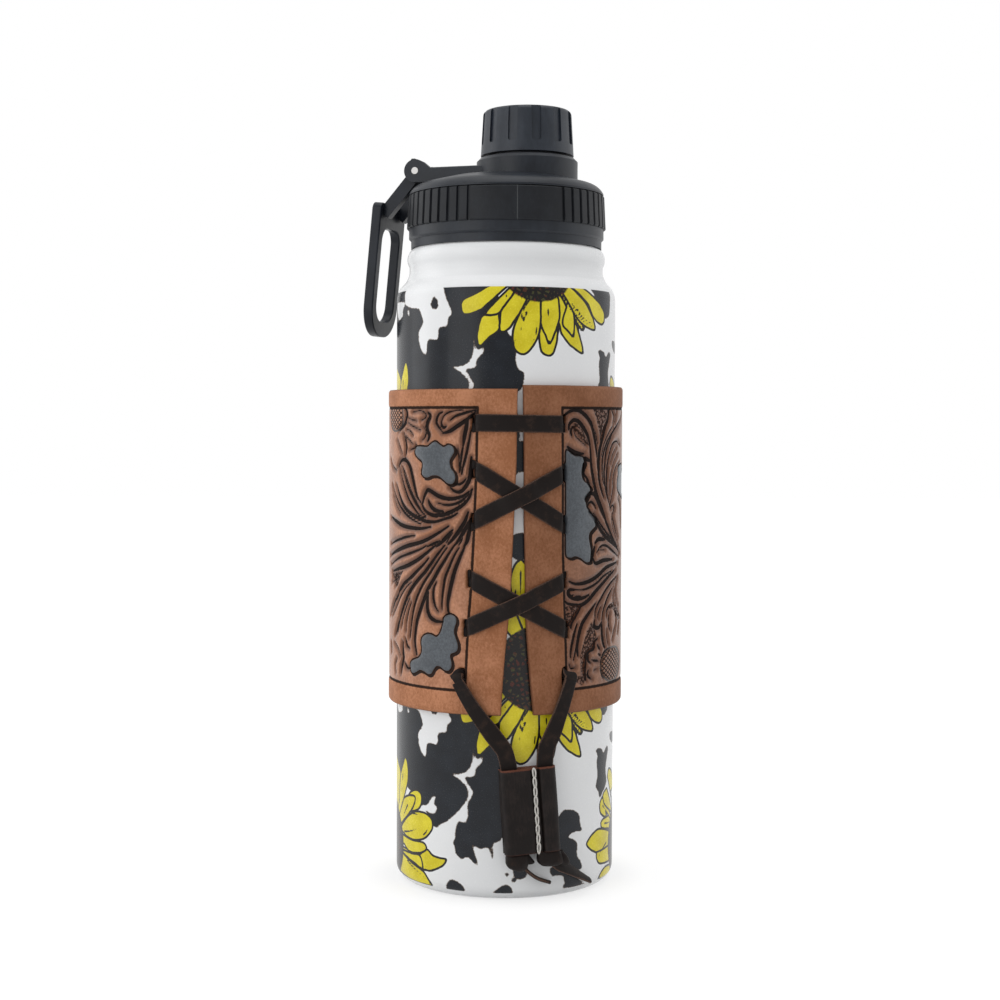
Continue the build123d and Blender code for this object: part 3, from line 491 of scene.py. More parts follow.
# the pattern repeats: places are (along the surface, height) within one repeat
pattern = {
    "low": 2.5, "high": 195.5, "repeat": 114.67, "storey": 130.0, "split": 132.0, "veinWidths": (0.75, 0.45, 0.12),
    "flowers": [(10.5, 74.5), (-56.0, 12.5)], "disc": 13.8,
    "black": [
        [(-23.4, 21.9), (-26, 22.5), (-27, 25), (-33, 30), (-42, 34), (-60, 40), (-61, 62), (-57, 77), (-48, 83),
         (-38, 79), (-27, 85), (-16, 82), (-8, 75), (-3, 64), (0, 52), (3, 48), (3, 42.9), (3.7, 39.6), (5.7, 38.2),
         (5.1, 33.6), (3.5, 32), (3, 28), (4, 24), (3, 21), (4.4, 19.5), (4, 16.5), (2.6, 17.6), (1.4, 20.6),
         (-0.7, 20.5), (-2, 19.1), (-3.8, 18.4), (-3.6, 14.8), (-4, 13.9), (-5.2, 17.1), (-7.7, 16.7), (-10.2, 17.6),
         (-9.9, 15.9), (-8.8, 12.6), (-9.1, 11.4), (-12, 13.7), (-14.1, 13), (-16.3, 14.8), (-17.2, 18)],
        [(19.3, 27.8), (21.1, 28.3), (24.4, 27.6), (26.4, 25.8), (26.7, 23.2), (27.7, 20.6), (25.1, 20.7),
         (22.8, 20.3), (22.1, 19.1), (24.5, 18), (25.5, 16), (25.5, 12.8), (27.5, 9.9), (27.3, 8.1), (23.8, 8.4),
         (19.9, 13.7), (16.4, 15), (15, 22)], [(34.8, 45.6), (36.3, 46.3), (38.9, 45.5), (40.2, 44.1), (42.7, 45.9),
         (44.4, 45.1), (43.2, 42.1), (42, 38.5), (42.8, 34.1), (39.9, 31.4), (37.5, 29.8), (36.4, 32.1), (34.7, 34),
         (35.9, 37), (35.3, 41.8), (35.8, 43.8)], [(15.5, 10.3), (18.7, 10.2), (21.2, 8.3), (24, 6.5), (28.7, 3.3),
         (28.6, 2.8), (20.2, 2.8), (20.4, 4.7), (19.6, 6.9), (17.5, 7.4), (15.8, 7.3), (15, 9)], [(46.4, 49.6),
         (51.1, 49.5), (54.9, 47), (51.2, 45.7), (47.1, 47.3)], [(31, 65.5), (32, 71), (36.5, 75.5), (41, 72),
         (43.7, 66), (43.7, 61.8), (43.4, 59.7), (42.6, 57.7), (39.4, 56.6), (37.9, 58.4)], [(-19.7, 2.5), (-19, 5),
         (-17.5, 6), (-15, 5.2), (-13.6, 4), (-13.4, 2.5)], [(-3.6, 2.5), (-2, 4.2), (0, 5.4), (1.8, 4.8),
         (2.4, 2.5)], [(0, 8.7), (0.7, 8), (1.4, 8.7), (0.7, 9.4)], [(2.1, 7), (3, 6.1), (3.9, 7), (3, 7.9)],
        [(2, 110), (8, 110), (8, 117), (2, 117)], [(3, 8), (7, 8), (7, 16), (3, 16)]],
    "white": [
        [(-30, 74.5), (-37, 71), (-41.1, 66), (-41.1, 62.2), (-40.5, 60.9), (-35.8, 59.5), (-32.1, 59.1),
         (-29.9, 54.7), (-32.2, 51.5), (-31.2, 46.7), (-28.6, 44.4), (-27.9, 48.4), (-26.3, 49.3), (-23.4, 49.2),
         (-23, 52.7), (-19.9, 53.4), (-19.3, 55.9), (-18, 57.2), (-19.1, 60), (-20.3, 62.5), (-21.6, 66), (-25, 72)],
        [(-10.2, 48.9), (-10.4, 45.5), (-11.6, 42.2), (-14, 40.6), (-17.4, 40), (-14.9, 38.7), (-12.4, 36.2),
         (-11.9, 34.1), (-12.7, 31.6), (-16.3, 27.3), (-19.9, 24.4), (-23.4, 21.9), (-24, 15), (-17.2, 18),
         (-16.3, 22.3), (-15.2, 25.1), (-13.1, 24.8), (-12, 26.9), (-12, 30.9), (-10.6, 33.7), (-10.6, 35.4),
         (-13, 39.3), (-9.9, 40), (-9.4, 42.5), (-7.4, 44.6), (-7.4, 46.4), (-8.6, 45.6), (-9.7, 46.6)],
        [(-25.6, 31.7), (-24.1, 31.9), (-24.6, 29.8), (-23.5, 28.3), (-24.9, 26.3), (-27.8, 26.7), (-30.1, 26.6),
         (-30.6, 28.2), (-27.4, 28.9)], [(-51.1, 62), (-51.1, 59.6), (-48.3, 56.5), (-45.5, 56.6), (-43.3, 57.6),
         (-43.3, 59.2), (-41.5, 61.7)], [(-38.6, 59.3), (-37.7, 57.6), (-38.8, 57.4), (-39.1, 58.7)]],
    "islands": [[(-26.6, 60.3), (-25.5, 58.9), (-23.8, 58.7), (-23.2, 59.7), (-23.5, 61.7), (-25, 63)]],
    # petals in three layers, the first on top; every petal runs on to the middle of its flower
    "petals": [
        [[(-5.8, 58.3), (-6.8, 56.5), (-2.7, 56.8), (-1, 58.8)],
         [(6.4, 61.3), (2.9, 54.2), (1.9, 49.7), (2.6, 46), (4.6, 44.2), (6.9, 44.9), (9.4, 48.2), (10.9, 52.8),
          (11, 59.4)],
         [(20.1, 59.4), (18.6, 54.1), (20.8, 51.8), (22.8, 50), (23.2, 52.9), (23, 57.1), (21.1, 60.4)],
         [(29.6, 60.5), (31.8, 56.8), (35.6, 54.7), (38.4, 55.1), (38.7, 58.2), (35.7, 61.3)],
         [(2, 96), (1.6, 104), (4.6, 109.5), (7.6, 105), (8.5, 96)],
         [(-47.1, 26.8), (-45.7, 34.6), (-42.5, 40.1), (-40.3, 42.6), (-38.7, 39.1), (-38.7, 34.9), (-41.3, 29.6),
          (-45.8, 23.3)],
         [(-44.3, 18.7), (-38.8, 23), (-33.6, 25.7), (-28.4, 25.9), (-25.6, 24.3), (-25.5, 21.2), (-28.4, 18),
          (-33.1, 16.3), (-38.8, 16.2), (-43.6, 17.3)],
         [(-43, 11.2), (-35.5, 11.4), (-31.3, 11.6), (-29.7, 7.5), (-33.2, 8.3), (-38.9, 9.5)],
         [(43.9, 35.5), (45.4, 38), (50.5, 35.8), (54.9, 30.6), (48.5, 29.9)],
         [(45.6, 22.3), (39.6, 22), (38.4, 20.5), (40.9, 18.8), (54.9, 16.2)],
         [(54.9, 4.2), (42.2, 5.8), (37.1, 3), (43, 2.2), (54.9, 2)]],
        [[(-10, 63.2), (-14.5, 60.9), (-14.1, 57.1), (-11.4, 57), (-7.9, 58.2)],
         [(-1.5, 60.3), (-2.1, 51.6), (0.8, 52.2), (2.9, 55.2), (5.9, 59.3)],
         [(11.1, 61.4), (10.9, 54.3), (12.7, 50.3), (14, 47.5), (15.8, 50.9), (17.5, 56), (17.2, 61.6)],
         [(21.1, 59.6), (24.4, 55.9), (27.6, 53.7), (32.2, 52.5), (32.9, 53.5), (31.6, 56.6), (27.9, 61.2)],
         [(-4, 92), (-5, 98), (-1, 103), (3, 100), (4, 92)], [(8, 94), (9, 103), (13, 105), (15, 96)],
         [(-45.8, 23.3), (-44.2, 26.8), (-40.7, 29.2), (-36.3, 30.6), (-33.9, 30.3), (-34.7, 27.6), (-37.6, 24.4),
          (-44.3, 19.6)],
         [(-42.9, 16.3), (-35.5, 15.9), (-29.7, 16.2), (-28, 14.4), (-30.8, 12.6), (-37.1, 11.7), (-41.7, 13.4)],
         [(-43.3, 10.2), (-35.6, 8.3), (-29.8, 6.8), (-27.2, 4.6), (-25.8, 2.7), (-30.2, 2.4), (-37.7, 2.4),
          (-46, 3.2)],
         [(43.3, 31.9), (39.9, 30.4), (40.9, 27.2), (45.6, 24.3), (54.9, 21.3), (51.7, 29.1)],
         [(44.1, 17.7), (37, 19.5), (33, 18.4), (30, 16), (31.7, 13.8), (35.2, 12)]],
        [[(-6.8, 56.5), (-8, 55.9), (-9.3, 50.8), (-9.2, 48.2), (-8.4, 46.6), (-5.3, 49.5), (-2.1, 52.2), (-2.4, 56.5)],
         [(10.5, 52.3), (10.6, 48.3), (11.4, 45.1), (13.3, 43.9), (15.1, 44.4), (16.4, 47.6), (16.9, 51.4)],
         [(17.7, 53.1), (18.5, 50.7), (21.7, 47.3), (26.3, 44.9), (26.9, 45.9), (25.9, 49.3), (24.2, 53.6)],
         [(24.2, 54.6), (26.5, 52.2), (27.6, 52.9)],
         [(-38.7, 29.5), (-36.7, 31.5), (-33.1, 32.9), (-30.5, 31.5), (-30.7, 28.3), (-33.1, 26.2), (-38.8, 24.7)],
         [(-55.2, 41.4), (-49.1, 39.4), (-45.4, 36.3), (-46.1, 30.2), (-47.9, 24.4)],
         [(-31.1, 12), (-28.1, 14.3), (-25.3, 12.8), (-22.6, 12.3), (-19.7, 12.2), (-21.2, 9.9), (-25.6, 7.7),
          (-29.7, 7.3)],
         [(39.5, 29.9), (37.5, 27.6), (38.3, 24.3), (42.9, 22.2), (42.1, 24.6)],
         [(44.9, 17.2), (38.2, 14.7), (35.5, 11.5), (36.5, 8.6), (40.7, 7.3), (54.9, 6.4)]]],
    "veins": [
        [(7.2, 61.2), (5.4, 58.2), (4.3, 53.9), (4.2, 51.1)], [(2.9, 54.7), (1.8, 52.6), (1.1, 50.6)], [(6.4, 57.3),
         (5.3, 54.3), (4.7, 51.7)], [(9.9, 52.8), (9.2, 49.8), (8.5, 48.2)], [(2.8, 48.7), (2.5, 46.9), (3.1, 45.9)],
        [(13.3, 58.4), (13.9, 55.4), (13.7, 52.6)], [(21.7, 58.8), (24.4, 56.6), (27.9, 54.6), (31.2, 53.6)],
        [(22.4, 60.3), (25, 57.4)], [(24.4, 58.8), (26.5, 56.6), (29.5, 55.2), (32, 54.4)], [(-38.8, 26.9),
         (-41.4, 23.7), (-44, 20.9)], [(-41.4, 17.5), (-36.5, 18.7), (-31.8, 20.5)], [(-29.3, 18.8), (-27.4, 20.9),
         (-27.2, 22.6)], [(-35.5, 24.8), (-32.2, 24.9)], [(42.9, 13.7), (38.2, 11.5), (36.8, 9.1)], [(41.4, 20.4),
         (52.1, 18.9)], [(39.9, 26.6), (43.7, 23.2)], [(-38.9, 8.4), (-31, 5.6), (-27.8, 4.1)], [(-42.8, 36.5),
         (-44, 30.3)], [(4.8, 106), (5, 98), (6, 92)], [(3, 100), (4, 92)], [(6.6, 99), (7.4, 91)], [(1.5, 70),
         (3.5, 64)], [(6, 68), (5, 63.5), (4.6, 60.5)], [(-1, 64), (1.2, 60.5)]],
}
repeats = (-pattern["repeat"], 0.0, pattern["repeat"])
flowers = [(x + shift, z) for x, z in pattern["flowers"] for shift in repeats]
petalLayers = ("petalA", "petalB", "petalC")


def arcPoints(centre, radius, start, end, steps):
    turns = np.radians(np.linspace(start, end, steps + 1))
    return np.stack([centre[0] + radius * np.cos(turns), centre[1] + radius * np.sin(turns)], -1)


def arcThrough(first, middle, last, steps):
    a, b, c = complex(*first), complex(*middle), complex(*last)
    ratio = (c - a) / (b - a)
    centre = (b - a) * (ratio - abs(ratio) ** 2) / (2j * ratio.imag) + a
    turns = np.unwrap(np.angle([a - centre, b - centre, c - centre]))
    turns = np.linspace(turns[0], turns[2], steps + 1)
    return np.stack([centre.real + abs(a - centre) * np.cos(turns), centre.imag + abs(a - centre) * np.sin(turns)], -1)


def shellProfile():
    s = shell
    low, high = s["covered"]
    bands = zip((s["corner"], low, high), (low, high, s["shoulder"]), s["rows"])
    straight = np.concatenate([np.arange(*band) for band in bands])
    inner = s["radius"] - s["wall"]
    return np.concatenate([
        [(s["rim"], 0), (s["radius"] - s["corner"], 0)],
        arcPoints((s["radius"] - s["corner"], s["corner"]), s["corner"], -80, -10, 7),
        [(s["radius"], height) for height in straight],
        arcPoints((s["radius"] - s["bend"], s["shoulder"]), s["bend"], 0, s["turn"], 8),
        arcPoints((s["neck"] + s["bend"], s["neckLow"]), s["bend"], 180 + s["turn"], 180, 8)[1:],
        arcThrough((s["neck"], s["beadLow"]), s["beadMiddle"], s["lip"], 8),
        [(s["mouth"], s["lip"][1]), (s["mouth"], s["lip"][1] - s["wall"]),
         (s["neck"] - s["wall"], s["beadLow"]), (s["neck"] - s["wall"], s["neckLow"]), s["innerShoulder"],
         (inner, s["shoulder"]), (inner, s["corner"]), s["innerCorner"],
         (s["radius"] - s["corner"], s["wall"]), (s["rim"], s["wall"])]])


def lathe(profile, columns):
    # a closed profile turned about the bottle's axis; column 0 starts at the back
    turns = np.linspace(-pi, pi, columns, endpoint=False)
    points = np.stack([profile[:, :1] * np.sin(turns), -profile[:, :1] * np.cos(turns),
                       profile[:, 1:] + 0 * turns], -1).reshape(-1, 3)
    return points, gridFaces(len(profile), columns, joinEnds=True), turns


def repeated(places, outlines):
    # distance to the nearest of these outlines, with the pattern's repeats beside it
    nearest = np.full(len(places), 1e9)
    for outline in outlines:
        for shift in repeats:
            moved = np.asarray(outline, float) + (shift, 0)
            low, high = moved.min(0) - 3, moved.max(0) + 3
            near = ((places > low) & (places < high)).all(1)
            if near.any():
                nearest[near] = np.minimum(nearest[near], outlineDistance(places[near], moved))
    return nearest


def strokeDistance(places, strokes, spacing=0.15):
    # distance to the nearest of these lines, less half its width there
    samples = []
    for line, widths in strokes:
        line = np.asarray(line, float)
        along = np.concatenate([[0], np.cumsum(np.linalg.norm(np.diff(line, axis=0), axis=1))])
        steps = np.arange(0, along[-1], spacing)
        wide = np.interp(steps / along[-1], np.linspace(0, 1, len(widths)), widths)
        samples.append(np.stack([np.interp(steps, along, line[:, 0]), np.interp(steps, along, line[:, 1]),
                                 wide / 2], -1))
    samples = np.concatenate(samples)
    tree = kdtree.KDTree(len(samples))
    for index, (x, y, half) in enumerate(samples):
        tree.insert((x, y, 0), index)
    tree.balance()
    found = np.empty(len(places))
    for index, (x, y) in enumerate(places):
        _, nearest, distance = tree.find((x, y, 0))
        found[index] = distance - samples[nearest, 2]
    return found


def petalOutline(petal):
    # a petal runs on to the middle of the flower that is nearest to its tip
    x, z = petal[len(petal) // 2]
    middle = min(flowers, key=lambda place: np.hypot(place[0] - x, place[1] - z))
    return np.concatenate([rounded(petal, False, 4), [middle]])


def makeShell():
    profile = shellProfile()
    points, faces, turns = lathe(profile, shell["columns"])
    along = np.tile(turns * shell["radius"], len(profile))
    height = points[:, 2]
    across = (along + pattern["repeat"] / 2) % pattern["repeat"] - pattern["repeat"] / 2
    level = np.where(height < pattern["split"], height, height - pattern["storey"])
    row = np.repeat(np.arange(len(profile)), shell["columns"])
    outside = (row < len(profile) - shell["inside"]) & (height < shell["printEnds"])
    places = np.stack([across, level], -1)[outside]
    black, white = [repeated(places, [rounded(outline, True, 3) for outline in pattern[name]])
                    for name in ("black", "white")]
    found = {"patch": np.minimum(np.maximum(black, -white), repeated(places, pattern["islands"])),
             "vein": strokeDistance(places, [(rounded(line), pattern["veinWidths"]) for line in pattern["veins"]]),
             "disc": np.min([np.hypot(*(places - middle).T) for middle in flowers], 0) - pattern["disc"]}
    for name, petals in zip(petalLayers, pattern["petals"]):
        found[name] = repeated(places, [petalOutline(petal) for petal in petals])
    numbers = {name: np.full(len(points), far) for name in found}
    for name, distances in found.items():
        numbers[name][outside] = distances
    meshPiece("printed_shell", points, faces, paintShell(), "bottle", ("outer_shell",), numbers)
    print("printed shell has", 2 * len(faces), "triangles")


# two colours are the ends of a mottled one
printFinish = {
    "white": (colour(0.83, 0.84, 0.85), colour(0.87, 0.88, 0.89)), "plain": colour(0.84, 0.85, 0.86),
    "ink": (colour(0.006, 0.008, 0.0125), colour(0.011, 0.0145, 0.021)), "fringe": colour(0.28, 0.14, 0.04),
    "yellow": (colour(0.66, 0.55, 0.012), colour(0.80, 0.69, 0.03)), "outline": colour(0.012, 0.011, 0.011),
    "seed": (colour(0.075, 0.018, 0.012), colour(0.055, 0.055, 0.02)), "disc": colour(0.010, 0.008, 0.008),
    "vein": colour(0.02, 0.018, 0.012)}


def paintShell():
    finish = printFinish
    paint = Paint("printedSteel", Specular_IOR_Level=0.3, Coat_Weight=0.08, Coat_Roughness=0.04, Coat_IOR=1.45)
    ragged = (paint.noise(1.1, 4.0, 0.65) - 0.5) * 0.9
    wobble = (paint.noise(2.2, 2.0) - 0.5) * 0.35
    grain = paint.noise(0.5, 4.0)
    # black patches, their brown fringe and the white between them
    patch = paint.attribute("patch") + ragged
    ink = paint.blend(paint.noise(6.0, 3.0).rise(0.35, 0.75), *finish["ink"])
    shade = paint.blend(patch.fall(-0.1, 0.12), paint.blend(paint.noise(20.0, 2.0), *finish["white"]), ink)
    shade = paint.blend(patch.size().fall(0.1, 0.3) * 0.18, shade, finish["fringe"])
    # outlined petals, the top layer last
    for name in petalLayers[::-1]:
        reach = paint.attribute(name) + wobble
        yellow = paint.blend((paint.noise(5.0, 3.0) + grain * 0.4).rise(0.45, 0.95), *finish["yellow"])
        shade = paint.blend(reach.fall(-0.06, 0.06), shade, yellow)
        shade = paint.blend(reach.size().fall(0.3, 0.42), shade, finish["outline"])
    first, second, third = [paint.attribute(name) for name in petalLayers]
    inside = first.least(second).least(third).fall(-0.1, 0.1)
    vein = (paint.attribute("vein") + wobble * 0.4).fall(-0.06, 0.08) * inside
    shade = paint.blend(vein, shade, finish["vein"])
    # seeded middles
    seed = paint.blend(paint.noise(3.0, 2.0).rise(0.45, 0.6), *finish["seed"])
    middle = paint.blend(paint.cells("DISTANCE_TO_EDGE", 1.6).rise(0.16, 0.26), finish["disc"], seed)
    shade = paint.blend((paint.attribute("disc") + ragged).fall(-0.3, 0.3), shade, middle)
    # the print ends in a straight line below and above
    height = paint.axis(2)
    printed = (height.rise(pattern["low"] - 0.1, pattern["low"] + 0.1)
               * height.fall(pattern["high"] - 0.1, pattern["high"] + 0.1))
    paint.feed("Base Color", paint.blend(printed, finish["plain"], shade))
    paint.feed("Roughness", 0.2 + 0.12 * grain)
    paint.bump(paint.noise(1.6, 2.0), 0.006, 0.4)
    return paint.material


makeShell()


# Tooled leather sleeve

sleeve = {
    "inner": 36.8, "outer": 39.2, "low": 60.0, "topLeft": 163.3, "topRight": 164.5,
    # the face's grid, closer together near the laced front, and the coarser one of the inner face
    "columns": 456, "rows": 200, "crowd": 0.38, "coarse": (26, 12),
    # the right end's extra height runs out between these shares of the way round the back
    "extraEnds": (0.35, 0.75),
    # gap edges, and the grooves that border the tooled field: (height, along the surface)
    "leftEdge": [(61, -1.3), (70, -0.8), (80, 0), (90, 1.0), (100, 1.8), (110, 2.1), (120, 2.6), (140, 3.4),
                 (163, 3.7)],
    "rightEdge": [(61, 9.3), (70, 8.3), (80, 7.4), (90, 6.6), (105, 6.4), (120, 6.0), (140, 5.9), (163, 5.5)],
    "leftBorder": [(67, -13), (75, -12.6), (88, -12), (100, -11), (110, -10.5), (120, -10), (140, -9.3), (157, -9)],
    "rightBorder": [(72, 20.5), (85, 20), (110, 19), (140, 18.8), (157, 18.5)],
    "gapMiddle": 4.5, "fieldLow": 67.5, "fieldHigh": 157.5,
    # lacing slots: half width and height of the straight part, and the round ends' radius
    "slots": [(-10.4, 152.5), (-10.4, 138), (-10.7, 121.4), (-11.8, 103.3), (-13.1, 87.6), (-14.2, 71.9),
              (19.4, 152.3), (19.5, 136.9), (19.7, 120.3), (20.0, 102.7), (20.8, 86.7), (19.9, 71.9)],
    "slotSize": (0.35, 2.3, 0.4),
    # the sheet's length and height, for the distance to its edges
    "sheet": (236, 103.3),
    # mirrors that carry the front's pattern round to the back: (middle, width)
    "leftFold": (-58.0, 50.5), "rightFold": (60.0, 43.0), "meet": -106.0, "backStrip": 5.5,
    # a patch's dark rim is widened on this side by a painted shadow
    "rimShadowShift": (0.7, -0.45)}
